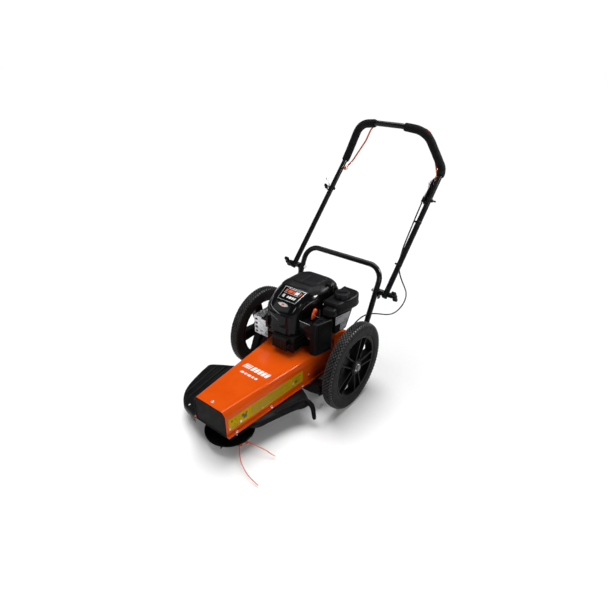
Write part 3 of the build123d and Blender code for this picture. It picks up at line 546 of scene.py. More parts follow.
def measured(points):
    """The points that a route passes through, and their length in metres."""
    guide = route("guide", points)
    mesh = bpy.data.meshes.new_from_object(guide.evaluated_get(bpy.context.evaluated_depsgraph_get()))
    line = [v.co.copy() for v in mesh.vertices]
    bpy.data.meshes.remove(mesh)
    bpy.data.objects.remove(guide)
    return line, sum((b - a).length for a, b in zip(line, line[1:]))


def line_route(k):
    """Control points of one of the four trimmer lines, the last two half a turn round the head."""
    points = (LINE_A, LINE_B)[k % 2]
    return points if k < 2 else [(-x, 2 * HEAD_Y - y, z) for x, y, z in points]


def make_trimmer_lines():
    for k in range(4):
        points = line_route(k)
        line = route(f"trimmer_line_end_{k + 1}", points, 2.0)
        line.data.materials.append(LOOKS["line_nylon"].made)
        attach(line, "trimmer_head")
        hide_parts(f"trimmer_line_{k + 1}")
        round(measured(points)[1], 4)


def make_cable():
    bm = bmesh.new()
    line = [(p - at(0, 0, 0)) / MM for p in measured(CABLE)[0]]
    bar(bm, line, CABLE_R, 14)
    cable = piece("control_cable_jacket", bm, "cable_jacket", ["control_cable"], None)
    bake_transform(cable)


make_trimmer_lines()
make_cable()


# ---- wheels

def make_tyre(name, side):
    """Hollow carcass, smooth sidewalls and rows of moulded tread blocks."""
    x0, x1 = TRACK_X - 24.0, TRACK_X + 24.0
    bm = bmesh.new()
    outer = [(150, 6.0), (153, 2.6), (158, 0.9), (166, 0.15), (176, 0.0), (186, 0.6), (191, 1.8),
             (194.5, 3.6), (195.6, 5.6), (196.2, 9.0), (196.6, 14.0)]
    inner = [(150, 10.0), (158, 8.5), (172, 6.5), (186, 7.5), (192, 14.0)]
    line = [(r, x1 - d) for r, d in outer] + [(r, x0 + d) for r, d in outer[::-1]]
    line += [(r, x0 + d) for r, d in inner] + [(r, x1 - d) for r, d in inner[::-1]]
    turned(bm, line, HUB, "x", 144, closed=True)
    for face in bm.faces:
        middle = face.calc_center_median()
        reach = hypot(middle.y, middle.z - WHEEL_R)
        if abs(middle.x - TRACK_X) > 15 and 151 < reach < 193.6:
            face.material_index = 1
    add_tread(bm)
    # The third finish, on the tread blocks and the shoulder bars, is a lighter copy of the rubber as painted
    # highlight.
    piece(f"tyre_{name}_moulded", bm, "tyre_rubber", [f"tyre_{name}"], f"wheel_{name}",
          ["tyre_rubber", "sidewall", "tread_block_painted_highlight"], side, smooth=30.0)


def add_tread(bm):
    """Staggered diamond blocks across the crown, and bars on both shoulders."""
    count = 80
    pitch = 2 * pi / count
    for row, x in enumerate((-14.0, -7.0, 0.0, 7.0, 14.0)):
        for k in range(count):
            a = pitch * (k + 0.5 * (row % 2))
            lug(bm, a, x, 4.9, 0.34 * pitch, 195.0 - 0.004 * x * x, 202.9 - 0.012 * x * x)
    for k in range(count):
        for s in (-1, 1):
            shoulder(bm, pitch * (k + 0.5), s, pitch * 0.28)


def on_tyre(angle, x, r):
    """A point of the tyre: angle round the hub, x off the middle of the tread, r from the axle."""
    return Vector((TRACK_X + x, r * sin(angle), WHEEL_R + r * cos(angle)))


def lug(bm, angle, x, half_x, half_a, low, high):
    """A diamond block with sloping sides."""
    rings = []
    for r, share in ((low, 1.0), (high - 0.5, 0.86), (high, 0.76)):
        rings.append([on_tyre(angle + da * half_a * share, x + dx * half_x * share, r)
                      for da, dx in ((-1, 0), (0, -1), (1, 0), (0, 1))])
    skin(bm, rings, caps=(False, True), mat=2)


def shoulder(bm, angle, s, half_a):
    """A bar from the crown over the shoulder of the tyre."""
    rings = []
    for x, low, high in ((16.4, 195.0, 200.0), (18.4, 194.2, 199.0), (20.2, 193.6, 197.4),
                         (22.0, 191.4, 194.8)):
        rings.append([on_tyre(angle + share * half_a, s * x, r)
                      for share, r in ((-1, low), (-0.8, high), (0.8, high), (1, low))])
    solid(bm, rings, 2)


def make_hub_trim(name, side):
    """Boss cover with a raised rim, and a washer under the nut."""
    bm = bmesh.new()
    turned(bm, [(20, 294.0), (35.5, 294.0), (36.0, 292.0), (36.0, 284.5), (34.5, 284.0)], HUB, "x", 40)
    turned(bm, [(20.0, 294.0), (20.0, 295.2), (28, 295.2), (29, 294.0)], HUB, "x", 40)
    ring_of_blocks(bm, (293.5, -1.6, 29.5), (294.9, 1.6, 34.5), HUB, 5, "X")
    piece(f"hub_cover_{name}", bm, "matte_black", (), f"wheel_{name}", ["panel_grey"], side, bevel=0.5)
    bm = bmesh.new()
    turned(bm, [(10.1, 295.3), (17, 295.3), (17, 296.3), (10.1, 296.3)], HUB, "x", 36, closed=True)
    piece(f"axle_washer_{name}", bm, "zinc_steel", side=side)


for name, side in SIDES:
    make_tyre(name, side)
    make_hub_trim(name, side)


# ---- deck

def deck_line(y):
    """Folded sheet section of the deck at y, with soft folds."""
    t, w = half_top(y), half_wall(y)
    f = w + FLANGE_W
    half = [(t, DECK_TOP), (w, DECK_EDGE), (w, FLANGE_Z + SHEET), (f, FLANGE_Z + SHEET), (f, FLANGE_Z),
            (w - SHEET, FLANGE_Z), (w - SHEET, DECK_EDGE - 1.3), (t - 1.3, DECK_TOP - SHEET)]
    soft = [7.0, 6.0, 2.5, 1.0, 1.0, 4.0, 4.0, 5.0]
    whole = half + [(-x, z) for x, z in reversed(half)]
    return rounded([(x, y, z) for x, z in whole], soft + soft[::-1])


def make_deck():
    bm = bmesh.new()
    inner = [DECK_FRONT + (DECK_REAR - DECK_FRONT) * k / 9 for k in range(1, 9)]
    stations = [DECK_FRONT, DECK_FRONT + 1.0, *inner, DECK_REAR - 1.0, DECK_REAR]
    solid(bm, [deck_line(y) for y in stations])
    piece("deck_cover_folded", bm, "orange_paint", ["deck_cover"], smooth=50.0)


def wall_point(y, z, s, lift):
    """A point on the side wall of the deck, lifted off it."""
    return Vector((s * (half_wall(y) + lift), y, z))


def wall_patch(bm, y0, y1, z0, z1, s, lift, mat):
    """A printed patch on the side wall."""
    steps = max(1, int(abs(y1 - y0) / 60))
    rows = []
    for k in range(steps + 1):
        y = y0 + (y1 - y0) * k / steps
        rows.append([wall_point(y, z, s, h)
                     for z, h in ((z0, lift), (z1, lift), (z1, lift - 0.25), (z0, lift - 0.25))])
    solid(bm, rows, mat)


def make_side_label(name, s):
    """Olive label along the side wall, with bars and squares in place of print."""
    bm = bmesh.new()
    wall_patch(bm, -578, -168, 150, 207, s, 0.45, 0)

    def mark(y0, y1, z0, height, mat=2):
        wall_patch(bm, y0, y1, z0, z0 + height, s, 0.62, mat)

    for y0, y1 in ((-576, -528), (-526, -474), (-472, -232), (-230, -170)):
        for z in (152.0, 204.4):
            mark(y0, y1, z, 0.8)
        for y in (y0, y1 - 0.8):
            mark(y, y + 0.8, 152.0, 53.2)
    for y, z, size in ((-566, 186, 8), (-548, 188, 5), (-541, 180, 4), (-552, 168, 4), (-514, 178, 14),
                       (-506, 166, 18), (-494, 184, 10), (-217, 168, 12), (-190, 190, 6)):
        mark(y, y + size, z, size, 1)
    for k, length in enumerate((220, 196, 228, 208, 172, 226, 214, 188)):
        mark(-466, -466 + length, 196 - 5.4 * k, 2)
    for k in range(5):
        mark(-224, -184 - 5 * (k % 3), 190 - 6.4 * k, 2.2)
    for k in range(3):
        mark(-569, -534, 163 - 4.2 * k, 1.6)
    piece(f"side_label_{name}", bm, "paper", looks=["label_olive", "ink", "ink_soft"])


def make_deck_print():
    """Generic white bars where a maker would print a name."""
    bm = bmesh.new()
    z = DECK_TOP + 0.25

    def stroke(x0, x1, y0, y1, lean, soft):
        ring = [(x0 + lean, y0), (x1 + lean, y0), (x1, y1), (x0, y1)]
        plate(bm, rounded(ring, soft, 2), z - 0.2, z)

    for k in range(4):
        stroke(-62 + 10 * k, -56 + 10 * k, -340, -312, -6.0, 1.0)
    for k in range(5):
        stroke(-18 + 19 * k, -3 + 19 * k, -340, -312, -6.0, 4.0)
    start = -48.0
    for width in (17, 11, 17, 11, 12):
        stroke(start, start + width, -374, -363, -2.0, 2.5)
        start += width + 6
    piece("deck_print", bm, "orange_paint", looks=["white_print"])


def dome_head(bm, centre, normal, r, h, hexagon=False):
    """A bolt or rivet head standing on a surface."""
    turn = Vector((0, 0, 1)).rotation_difference(Vector(normal)).to_matrix().to_4x4()
    first = len(bm.verts)
    if hexagon:
        turned(bm, [(0, h), (r * 0.86, h), (r, h * 0.86), (r, 1.0)], (0, 0, 0), steps=6)
        turned(bm, [(r * 0.9, 1.2), (r * 1.25, 1.2), (r * 1.3, 0.0)], (0, 0, 0), steps=24)
    else:
        dome = [(0, h), (r * 0.4, h * 0.93), (r * 0.75, h * 0.65), (r, 0.1), (r, -0.4)]
        turned(bm, dome, (0, 0, 0), steps=20)
    moved(bm, first, Matrix.Translation(centre) @ turn)


def make_deck_hardware():
    bm = bmesh.new()
    dome_head(bm, (0, -571, DECK_TOP), (0, 0, 1), 5.8, 4.4, True)
    for s in (-1, 1):
        for y, z, r, h, hexagon in ((-520, 163, 4.6, 3.0, True), (-229, 172, 4.4, 3.0, False),
                                    (-130, 165, 4.4, 3.0, True), (-574, 156, 2.6, 1.4, False),
                                    (-404, 153, 2.6, 1.4, False)):
            dome_head(bm, wall_point(y, z, s, 0.6), (s, 0, 0), r, h, hexagon)
    piece("deck_screws", bm, "zinc_steel", smooth=32.0)


def make_front_plate():
    """Black end plate with a turned edge all round."""
    t, w, low, top = half_top(DECK_FRONT) - 0.5, half_wall(DECK_FRONT) - 0.3, 126.0, DECK_TOP - 0.4
    line = rounded([(t, top), (w, DECK_EDGE), (w, low), (-w, low), (-w, DECK_EDGE), (-t, top)], 5.0, 3)
    bm = bmesh.new()
    rows = []
    for inwards, y in ((0, 0.6), (0, -1.8), (0.8, -2.8), (4.2, -2.8), (5.4, -1.7), (5.8, -0.9)):
        rows.append([(p.x, DECK_FRONT + y, p.y) for p in offset(line, inwards)])
    solid(bm, rows)
    piece("front_plate_pressed", bm, "black_paint", ["front_plate"], looks=["plate_black"])


def make_axle_gussets():
    """Stiffening blocks between the transverse beam and the deck's flanges."""
    bm = bmesh.new()
    outline = [(-96, 86), (-40, 92), (-36, 130.5), (-96, 130.5)]
    for s in (-1, 1):
        solid(bm, [[(s * x, y, z) for y, z in outline] for x in (140.5, 150.5)])
    piece("axle_gussets", bm, "black_paint", bevel=0.8)


make_deck()
make_front_plate()
make_axle_gussets()
make_deck_print()
make_deck_hardware()
for name, side in SIDES:
    make_side_label(name, side)


# ---- debris shield

# Stations along each wing: a point at the deck and one at the wing's edge.
LEFT_WING = [
    ((-86, -586, 124), (-104, -588, 112)), ((-88, -566, 124), (-168, -566, 96)),
    ((-90, -544, 124), (-236, -542, 86)), ((-92, -506, 124), (-284, -498, 90)),
    ((-96, -452, 124), (-307, -446, 98)), ((-102, -380, 124), (-317, -372, 112)),
    ((-106, -330, 124), (-318, -322, 122)), ((-110, -290, 124), (-282, -292, 124)),
    ((-114, -240, 124), (-212, -250, 124))]
RIGHT_WING = [
    ((92, -480, 124), (103, -484, 112)), ((94, -450, 124), (120, -452, 101)),
    ((97, -405, 124), (134, -402, 100)), ((102, -350, 124), (152, -345, 100)),
    ((106, -300, 124), (172, -287, 100)), ((110, -255, 124), (194, -252, 101)),
    ((113, -215, 124), (196, -216, 104)), ((116, -184, 124), (150, -186, 112))]
LEFT_SKIRT, RIGHT_SKIRT = 22.0, 9.0
WING_LIMIT = -318.0


def between(stations, u, column):
    """A smooth line through the stations' inner or outer points, u from 0 to 1."""
    last = len(stations) - 1
    place = u * last
    i = min(int(place), last - 1)
    t = place - i
    p = [Vector(stations[max(0, min(last, i + k))][column]) for k in (-1, 0, 1, 2)]
    return 0.5 * ((2 * p[1]) + (p[2] - p[0]) * t + (2 * p[0] - 5 * p[1] + 4 * p[2] - p[3]) * t * t
                  + (3 * p[1] - p[0] - 3 * p[2] + p[3]) * t ** 3)


def find_station(stations, y):
    """How far along a wing, from 0 to 1, its outer edge reaches y."""
    last = len(stations) - 1
    for i in range(last):
        y0, y1 = stations[i][1][1], stations[i + 1][1][1]
        if y0 <= y <= y1:
            return (i + (y - y0) / (y1 - y0)) / last
    return 1.0 if y > stations[-1][1][1] else 0.0


def arched(a, b, v, crown, drop_by=0.0):
    """A point between two others, raised in the middle by crown."""
    return a.lerp(b, v) + Vector((0, 0, crown * sin(pi * v) - drop_by))


def wing_rows(stations, out, steps, crown, skirt):
    """Rows over a wing: from the deck to its edge, down the skirt and back underneath."""
    turn = [(-3.5, 0.4), (0.2, -2.4), (1.2, -0.5 * skirt), (2, 0.6 - skirt), (0.8, -skirt),
            (-1.6, 0.6 - skirt), (-2.6, -0.4 * skirt)]
    rows = []
    for k in range(steps + 1):
        a, b = between(stations, k / steps, 0), between(stations, k / steps, 1)
        row = [arched(a, b, j / 8, crown) for j in range(8)]
        b.x = max(b.x, WING_LIMIT)
        row += [b + Vector((x * out, 0, z)) for x, z in turn]
        row += [arched(a, b, j / 8 * 0.97, crown, 4.0) for j in range(8, -1, -1)]
        rows.append(row)
    return rows


def make_shield():
    bm = bmesh.new()
    solid(bm, wing_rows(LEFT_WING, -1.0, 40, 3.0, LEFT_SKIRT))
    solid(bm, wing_rows(RIGHT_WING, 1.0, 32, 3.5, RIGHT_SKIRT))
    plate(bm, [(-112, -330), (112, -330), (112, -250), (-112, -250)], 120.2, 123.8)
    leg = [(126, -376, 108), (133, -354, 109), (145, -315, 110), (156, -280, 111), (166, -250, 111),
           (174, -231, 110), (185, -222, 108), (199, -219, 102), (211, -217, 92), (220, -219, 78),
           (228, -225, 60), (235, -231, 46), (236, -231, 41.0)]
    bar(bm, leg, [2.0, 7.0, 8.5, 9.5, 10.0, 11.0, 12.0, 12.5, 12.5, 11.5, 10.5, 9.5, 8.0], 16, 0.9)
    piece("debris_shield_moulded", bm, "matte_black", ["debris_shield"], looks=["shield_plastic"],
          smooth=55.0)
    bm = bmesh.new()
    for x in (-236.0, -272.0):
        line = []
        for k in range(13):
            y = -520.0 + 22.0 * k - 0.5 * (x + 236)
            u = min(0.999, max(0.001, find_station(LEFT_WING, y)))
            a, b = between(LEFT_WING, u, 0), between(LEFT_WING, u, 1)
            v = (x - a.x) / (b.x - a.x)
            if v < 0.97:
                line.append((x, y, arched(a, b, v, 3.0, 0.5).z))
        tapered(bm, line, 6.5, 2.0, 12, 0.8)
    piece("shield_ribs", bm, "matte_black", looks=["shield_plastic"], smooth=60.0)
    bm = bmesh.new()
    dome_head(bm, (-196, -541, 100), (-0.25, -0.1, 1.0), 5.0, 3.6)
    piece("shield_screw", bm, "zinc_steel")


make_shield()


# ---- trimmer head

def make_head():
    centre = (0.0, HEAD_Y, 0.0)
    bm = bmesh.new()
    turned(bm, [(8.7, 50.2), (102.5, 50.2), (104.3, 51.0), (105.0, 53.0), (105.0, 56.5), (104.0, 58.6),
                (101.5, 60.0), (84, 60.4), (82, 61.4), (62, 62.0), (60, 63.2), (36, 64.4), (33, 66.5),
                (30.5, 76.5), (29, 78), (8.7, 78)], centre, "z", 96, closed=True)
    ring_of_blocks(bm, (38, -1.5, 61.5), (80, 1.5, 65.0), centre, 12)
    # The disc takes the darker plastic, painted shade under the deck.
    piece("head_disc_moulded", bm, "matte_black", ["head_disc"], "trimmer_head", ["head_plastic_painted_shade"],
          smooth=32.0)
    bm = bmesh.new()
    turned(bm, [(0, 0), (19, 0), (24, 0.5), (34, 3.0), (48, 9.0), (62, 16.6), (74, 23.4), (84, 30.6),
                (92, 38.0), (95.4, 44.0), (96, 49.8), (0, 49.8)], centre, "z", 96)
    ring_of_blocks(bm, (66, -2.0, 30.0), (95.5, 2.0, 46.0), centre, 8, "Z", 22.5)
    piece("head_foot_moulded", bm, "matte_black", ["head_foot"], "trimmer_head", smooth=32.0)
    for k in range(4):
        exit_point = Vector(line_route(k)[0])
        out = (exit_point - Vector((0, HEAD_Y, exit_point.z))).normalized()
        bm = bmesh.new()
        turned(bm, [(2.5, -5), (5.2, -5), (5.6, -4), (5.6, 4), (7.4, 5), (7.6, 6.2), (6.6, 7.4), (3.6, 7.6),
                    (2.5, 6.6)], (0, 0, 0), "z", 24, closed=True)
        turn = Vector((0, 0, 1)).rotation_difference(out).to_matrix().to_4x4()
        moved(bm, 0, Matrix.Translation(exit_point + out * 6.0) @ turn)
        piece(f"line_eyelet_{k + 1}", bm, "orange_plastic", body="trimmer_head")


make_head()


# ---- engine

# Plan outlines of the blower housing at the heights that it changes shape.
HOUSING = [
    (335.0, [(-118, -122), (-74, -148), (22, -148), (50, -112), (60, -52), (96, -6), (104, 40),
             (104, 132), (60, 158), (-86, 158), (-136, 118), (-146, -50)]),
    (430.0, [(-122, -112), (-84, -134), (24, -134), (51, -106), (60, -52), (96, -6), (104, 40),
             (104, 136), (60, 162), (-90, 162), (-138, 120), (-146, -50)]),
    (470.0, [(-104, -88), (-76, -100), (26, -100), (50, -86), (62, -46), (94, -6), (102, 40),
             (100, 132), (58, 156), (-84, 156), (-126, 114), (-132, -36)]),
    (505.0, [(-88, -30), (-72, -38), (42, -38), (54, -30), (66, -14), (86, 6), (92, 44),
             (88, 122), (52, 142), (-74, 142), (-106, 104), (-110, -8)]),
    (518.0, [(-66, -2), (-58, -8), (40, -8), (48, -4), (56, 8), (68, 24), (72, 50),
             (68, 100), (44, 120), (-60, 120), (-84, 92), (-86, 12)])]
GRIP_X, GRIP_Y = 84.0, 70.0


def housing_rings(grow=0.0, low=0):
    """Rings up the blower housing, soft at every corner and between its levels."""
    levels = []
    for z, ring in HOUSING[low:]:
        line = rounded(ring, 16.0)
        levels.append(level(offset(line, -grow) if grow else line, z))
    tracks = [rounded(track, 11.0, closed=False) for track in zip(*levels)]
    return [list(ring) for ring in zip(*tracks)]


def make_housing():
    """Blower housing with the round recess that the starter grip sits in."""
    bm = bmesh.new()
    rings = housing_rings()
    under = level(offset(rings[0], 4.0), rings[0][0].z)
    solid(bm, [level(under, 420.0), under] + rings)
    bmesh.ops.recalc_face_normals(bm, faces=bm.faces)
    shell = BVHTree.FromBMesh(bm)
    turned(bm, [(15.4, 505.0), (19.5, 507.0), (20.5, 504.5), (20.5, 480.0), (15.4, 480.0)],
           (GRIP_X, GRIP_Y, 0), "z", 32, mat=1, closed=True)
    piece("blower_housing_moulded", bm, "gloss_black", ["blower_housing"],
          looks=["gloss_black", "matte_black"], smooth=30.0)
    return shell


SHELL = make_housing()


def facet(u, v):
    """A point over the housing's sloping front facet: u across and v up, each from 0 to 1."""
    low = Vector((-72, -99, 470)).lerp(Vector((24, -99, 470)), u)
    high = Vector((-72, -36, 505)).lerp(Vector((43, -36, 505)), u)
    return low.lerp(high, v) + Vector((0.0, -0.49, 0.87)) * 60.0


def facet_patch(bm, u0, u1, v0, v1, height, mat, lean=0.0, nu=2, nv=2):
    corners = [facet(u0, v0), facet(u1, v0), facet(u1 + lean, v1), facet(u0 + lean, v1)]
    decal(bm, SHELL, corners, (0.0, 0.49, -0.87), height, mat, nu, nv)


def make_decal():
    """Silver-framed badge on the front facet, with generic orange and white marks."""
    black, silver, orange, white = range(4)
    frame_lift, field_lift, mark_lift = 0.4, 0.9, 1.3
    bm = bmesh.new()
    facet_patch(bm, 0.0, 1.0, 0.02, 0.98, frame_lift, silver, nu=14, nv=8)
    facet_patch(bm, 0.022, 0.978, 0.05, 0.95, field_lift, black, nu=14, nv=8)
    for start, width, mat in ((0.13, 0.1, orange), (0.27, 0.2, orange), (0.5, 0.08, orange),
                              (0.61, 0.17, white), (0.83, 0.06, orange)):
        facet_patch(bm, start, start + width, 0.6, 0.8, mark_lift, mat, 0.02)
    facet_patch(bm, 0.12, 0.88, 0.52, 0.545, mark_lift, silver, nu=8, nv=1)
    facet_patch(bm, 0.15, 0.27, 0.2, 0.42, mark_lift, silver)
    for start, width in ((0.4, 0.07), (0.5, 0.12), (0.65, 0.08), (0.76, 0.07)):
        facet_patch(bm, start, start + width, 0.22, 0.38, mark_lift, white, 0.02)
    facet_patch(bm, 0.2, 0.8, 0.86, 0.89, mark_lift, silver, nu=8, nv=1)
    piece("engine_badge", bm, "gloss_black", weld=0.001,
          looks=["gloss_black", "silver_print", "orange_plastic", "white_print"])


def make_small_badge():
    """Plain silver lozenge with one dot under the badge."""
    bm = bmesh.new()
    for half_x, half_z, height, mat, steps in ((24.0, 7.5, 0.6, 0, 28), (6.0, 4.2, 1.1, 1, 16)):
        starts = []
        for c, s in circle(steps):
            reach = 1.0 + 0.15 * (c * c - s * s)
            starts.append((-29 + half_x * c * reach, -220, 484 + half_z * s))
        solid(bm, [[drop(SHELL, p, (0, 1, -0.25), h) for p in starts] for h in (BURIED, height)], mat)
    piece("small_badge", bm, "gloss_black", looks=["silver_print", "orange_plastic"], weld=0.001)


def make_painted_highlight_ridges():
    """Chevron ribs on the nose, and a line down its left shoulder, all in light grey as painted highlight: the
    chevrons are raised ribs with their sheen painted on, and the shoulder line is a painted highlight on the
    housing's curve.
    """
    bm = bmesh.new()
    upper = [(-104, -69, 477), (-98, -97, 461.5), (-94, -117.5, 441.5), (-87, -122, 438.5),
             (-70.6, -130.5, 432), (-47, -134.5, 425), (-24, -137, 420)]
    lower = [(-92, -130, 417), (-81, -139, 411.5), (-62, -143.5, 407), (-45, -144, 399), (-27, -144, 390.5)]
    across = [(53, -84, 443), (58, -66, 455), (65, -43, 466), (76, -22, 474), (88, -4, 480)]
    for line, bend, radius in ((upper, 7.0, 2.3), (lower, 7.0, 2.3), (across, 9.0, 2.0)):
        tapered(bm, rounded(line, bend, 3, closed=False), radius, 0.6)
    # The bars take a light grey, a painted highlight along the ribs and the shoulder.
    piece("nose_ribs_painted_highlight", bm, "gloss_black", looks=["rib_painted_highlight"], smooth=60.0)


def make_top_panel():
    """Charcoal cover over the top of the housing, with a raised deck and two fields."""
    bm = bmesh.new()
    upper = []
    for ring in housing_rings(1.6, 2):
        if ring[0].z > 494.0:
            upper.append([Vector((p.x, max(p.y, -31.0) if p.z < 512 else p.y, p.z + 0.9)) for p in ring])
    rim = upper[0]
    lip = [Vector((flat.x, flat.y, p.z - 1.2)) for flat, p in zip(offset(rim, 2.4), rim)]
    solid(bm, [lip, [p - Vector((0, 0, 0.9)) for p in rim]] + upper)
    for outline, bend, low, high, soft in (
            ([(-60, 0), (36, 0), (52, 20), (56, 96), (40, 112), (-56, 112), (-76, 88), (-78, 16)],
             9.0, 517.0, 522.6, 2.2),
            ([(-18, 6), (35, 6), (48, 24), (52, 94), (39, 107), (-18, 107)], 5.0, 521.5, 525.0, 1.6),
            ([(-58, 6), (-24, 6), (-24, 107), (-54, 107), (-71, 87), (-73, 18)], 5.0, 521.5, 524.2, 1.6)):
        plate(bm, rounded(outline, bend, 3), low, high, soft)
    piece("top_panel_moulded", bm, "matte_black", ["top_panel"], looks=["panel_grey"], smooth=32.0)


def make_console():
    """Lever console beside the nose, framed by thin pale lines."""
    bm = bmesh.new()
    line = rounded([(50, -104), (115, -104), (115, -26), (70, -26), (58, -50), (50, -58)], 6.0, 3)
    plate(bm, line, 336.0, 399.5, 3.0)
    rim = rounded([(74, -92), (107, -92), (107, -34), (80, -34), (74, -50)], 5.0, 3)
    skin(bm, [level(offset(rim, d), z) for d, z in ((-3.0, 399.0), (-3.0, 401.0), (-2.2, 401.8),
                                                    (-0.8, 401.8), (0.0, 401.0), (0.6, 399.0))])
    for x in (88.0, 102.0):
        block(bm, (x - 1.6, -70, 398.5), (x + 1.6, -54, 412.5))
    bar(bm, [(86, -62, 408), (106.5, -62, 408)], 2.3)
    piece("lever_console", bm, "gloss_black", bevel=0.7)
    bm = bmesh.new()
    edge = level(offset(line, 2.2), 400.4)
    bar(bm, edge + [edge[0]], 0.8, 6)
    for z in (372.0, 384.0):
        bar(bm, [(118, -96, z), (118, -60, z)], 0.7, 6)
    piece("console_edge_lines", bm, "gloss_black", looks=["label_grey"], smooth=60.0)


def make_speed_lever():
    """Two-lobed orange lever."""
    outline = [(-7, -4), (7, -4), (9, 8), (6, 14), (15, 17), (23, 26), (24, 35), (17, 41), (8, 39), (4, 31),
               (-2, 24), (-6, 14)]
    bm = bmesh.new()
    plate(bm, rounded(outline, 5.0, 3), -5.3, 5.3, 2.2, 3, 2.2)
    for x, y, r in ((16.5, 31, 11.0), (7.5, 14.5, 9.0)):
        half = [(0, -8), (r * 0.6, -7.4), (r * 0.92, -4.6)]
        turned(bm, [*half, (r, 0), *((d, -z) for d, z in reversed(half))], (x, y, 0), "z", 24)
    bar(bm, [(0, 0, -5.4), (0, 0, 5.4)], 5.6, 16)
    moved(bm, 0, Matrix.Translation((96.0, -62.0, 408.0)) @ Z_TO_X)
    piece("speed_lever_moulded", bm, "orange_plastic", ["speed_lever"], "speed_lever")


COVER_FRONT, COVER_REAR = Vector((152, -116)), Vector((178, -26))


def cover_line(bm, points, radius, sides=8):
    """A rib on the outer face of the filter cover, from points of (share of the way back, height, lift)."""
    line = [Vector((*COVER_FRONT.lerp(COVER_REAR, t), z)) + Vector((lift, 0, 0)) for t, z, lift in points]
    bar(bm, line, radius, sides)


def make_filter_cover():
    """Upright box cover of the air filter, with ribs, a latch and a slanting line."""
    bm = bmesh.new()
    plate(bm, rounded([(122, -118), COVER_FRONT, COVER_REAR, (122, -24)], [1.0, 10.0, 10.0, 1.0], 5),
          262.0, 420.0, 9.0, 5, 7.0)
    for t in (0.1, 0.2):
        ends = [(t, 274, -0.6), (t, 282, 0.4), (t, 404, 0.4), (t, 412, -2.0)]
        cover_line(bm, ends, [1.2, 2.6, 2.6, 1.2], 10)
    cover_line(bm, [(0.26, 290, 0), (0.9, 290, 0)], 1.8)
    cover_line(bm, [(0.36, 358, 0), (0.64, 384, 0)], 1.6)
    cover_line(bm, [(0.28, 290, 0), (0.28, 400, 0)], 1.4)
    for y in (-94.0, -86.0):
        block(bm, (130, y, 419.0), (152, y + 3.4, 422.4))
    block(bm, (132, -76, 419.0), (158, -54, 422.0))
    block(bm, (138, -72, 421.0), (152, -60, 425.0))
    piece("air_filter_cover_moulded", bm, "matte_black", ["air_filter_cover"], bevel=0.6, smooth=32.0)


CAP = Vector((158.0, 62.0, 0.0))
TANK_LOW, TANK_RIM, TANK_TOP = 312.0, 430.0, 482.0


def make_tank():
    """Upper shell with a step in front, a rolled rim, and a body that narrows below it."""
    bm = bmesh.new()
    line = rounded([(105.5, -8), (170, -10), (184, 4), (203, 92), (206, 122), (186, 162), (105.5, 162)],
                   [4, 12, 12, 16, 18, 22, 4], 5)
    plate(bm, line, TANK_RIM, TANK_TOP, 11.0, 6, 3.0)
    front = rounded([(128, -40), (168, -40), (180, -30), (182, -12), (174, 0), (128, 0)], [6, 8, 6, 6, 1, 1])
    plate(bm, front, TANK_RIM, 462.0, 7.0, 5, 3.0)
    plate(bm, rounded([(134, -35), (165, -35), (175, -27), (176, -11), (134, -11)], 5.0), 460.0, 463.6, 1.6)
    for ring in (line, front):
        rim = level(offset(ring, 0.4), TANK_RIM + 5.0)
        bar(bm, rim + [rim[0]], 2.2, 8)
    foot = [(116, 16), (158, 16), (166, 92), (160, 112), (116, 112)]
    waist = [(110, 0), (170, 0), (190, 94), (180, 138), (110, 138)]
    rows = []
    for k in range(7):
        ring = [Vector(a).lerp(Vector(b), k / 6) for a, b in zip(foot, waist)]
        rows.append(level(rounded(ring, 10.0), TANK_LOW + (TANK_RIM + 2 - TANK_LOW) * k / 6))
    solid(bm, rows)
    plate(bm, rounded([(118, 0), (166, -1), (176, 8), (180, 26), (118, 26)], 5.0, 3),
          TANK_TOP - 2, TANK_TOP + 1.6, 1.6)
    neck = CAP + Vector((0, 0, TANK_TOP))
    turned(bm, [(24, -2), (41, -2), (41, 0.2), (39.5, 1.2), (26, 1.2), (24, 8.5)], neck)
    turned(bm, [(20.2, -6), (24, -6), (24, 9.6), (20.2, 9.6)], neck, steps=32, closed=True)
    piece("fuel_tank_moulded", bm, "matte_black", ["fuel_tank"], smooth=32.0)
    bm = bmesh.new()
    for u0, u1, v0, v1 in ((0.04, 1.0, 0.42, 0.82), (0.46, 0.94, 0.06, 0.4)):
        tank_patch(bm, u0, u1, v0, v1, 0.5, 0)
        for k in range(4):
            v = v1 - 0.05 - (v1 - v0 - 0.06) * k / 4
            tank_patch(bm, u0 + 0.04, u1 - 0.06 - 0.1 * (k % 3), v - 0.03, v, 0.7, 1)
    piece("tank_labels", bm, "matte_black", looks=["label_grey", "label_ink"], weld=0.001)
    bm = bmesh.new()
    bar(bm, [(105, 6, 463), (113, -12, 462.5)], 1.5, 8)
    piece("tank_edge_line", bm, "matte_black", looks=["white_print"])


def tank_side(u, v, lift):
    """A point on the outer side of the tank's lower body: u to the rear, v up."""
    low = Vector((158 + 8 * u, 16 + 76 * u, TANK_LOW))
    high = Vector((170 + 20 * u, 94 * u, TANK_RIM))
    return low.lerp(high, v) + Vector((lift, -0.2 * lift, -0.12 * lift))


def tank_patch(bm, u0, u1, v0, v1, lift, mat):
    """A thin printed patch on the side of the tank."""
    corners = ((u0, v0), (u1, v0), (u1, v1), (u0, v1))
    solid(bm, [[tank_side(u, v, h) for u, v in corners] for h in (0.0, lift)], mat)


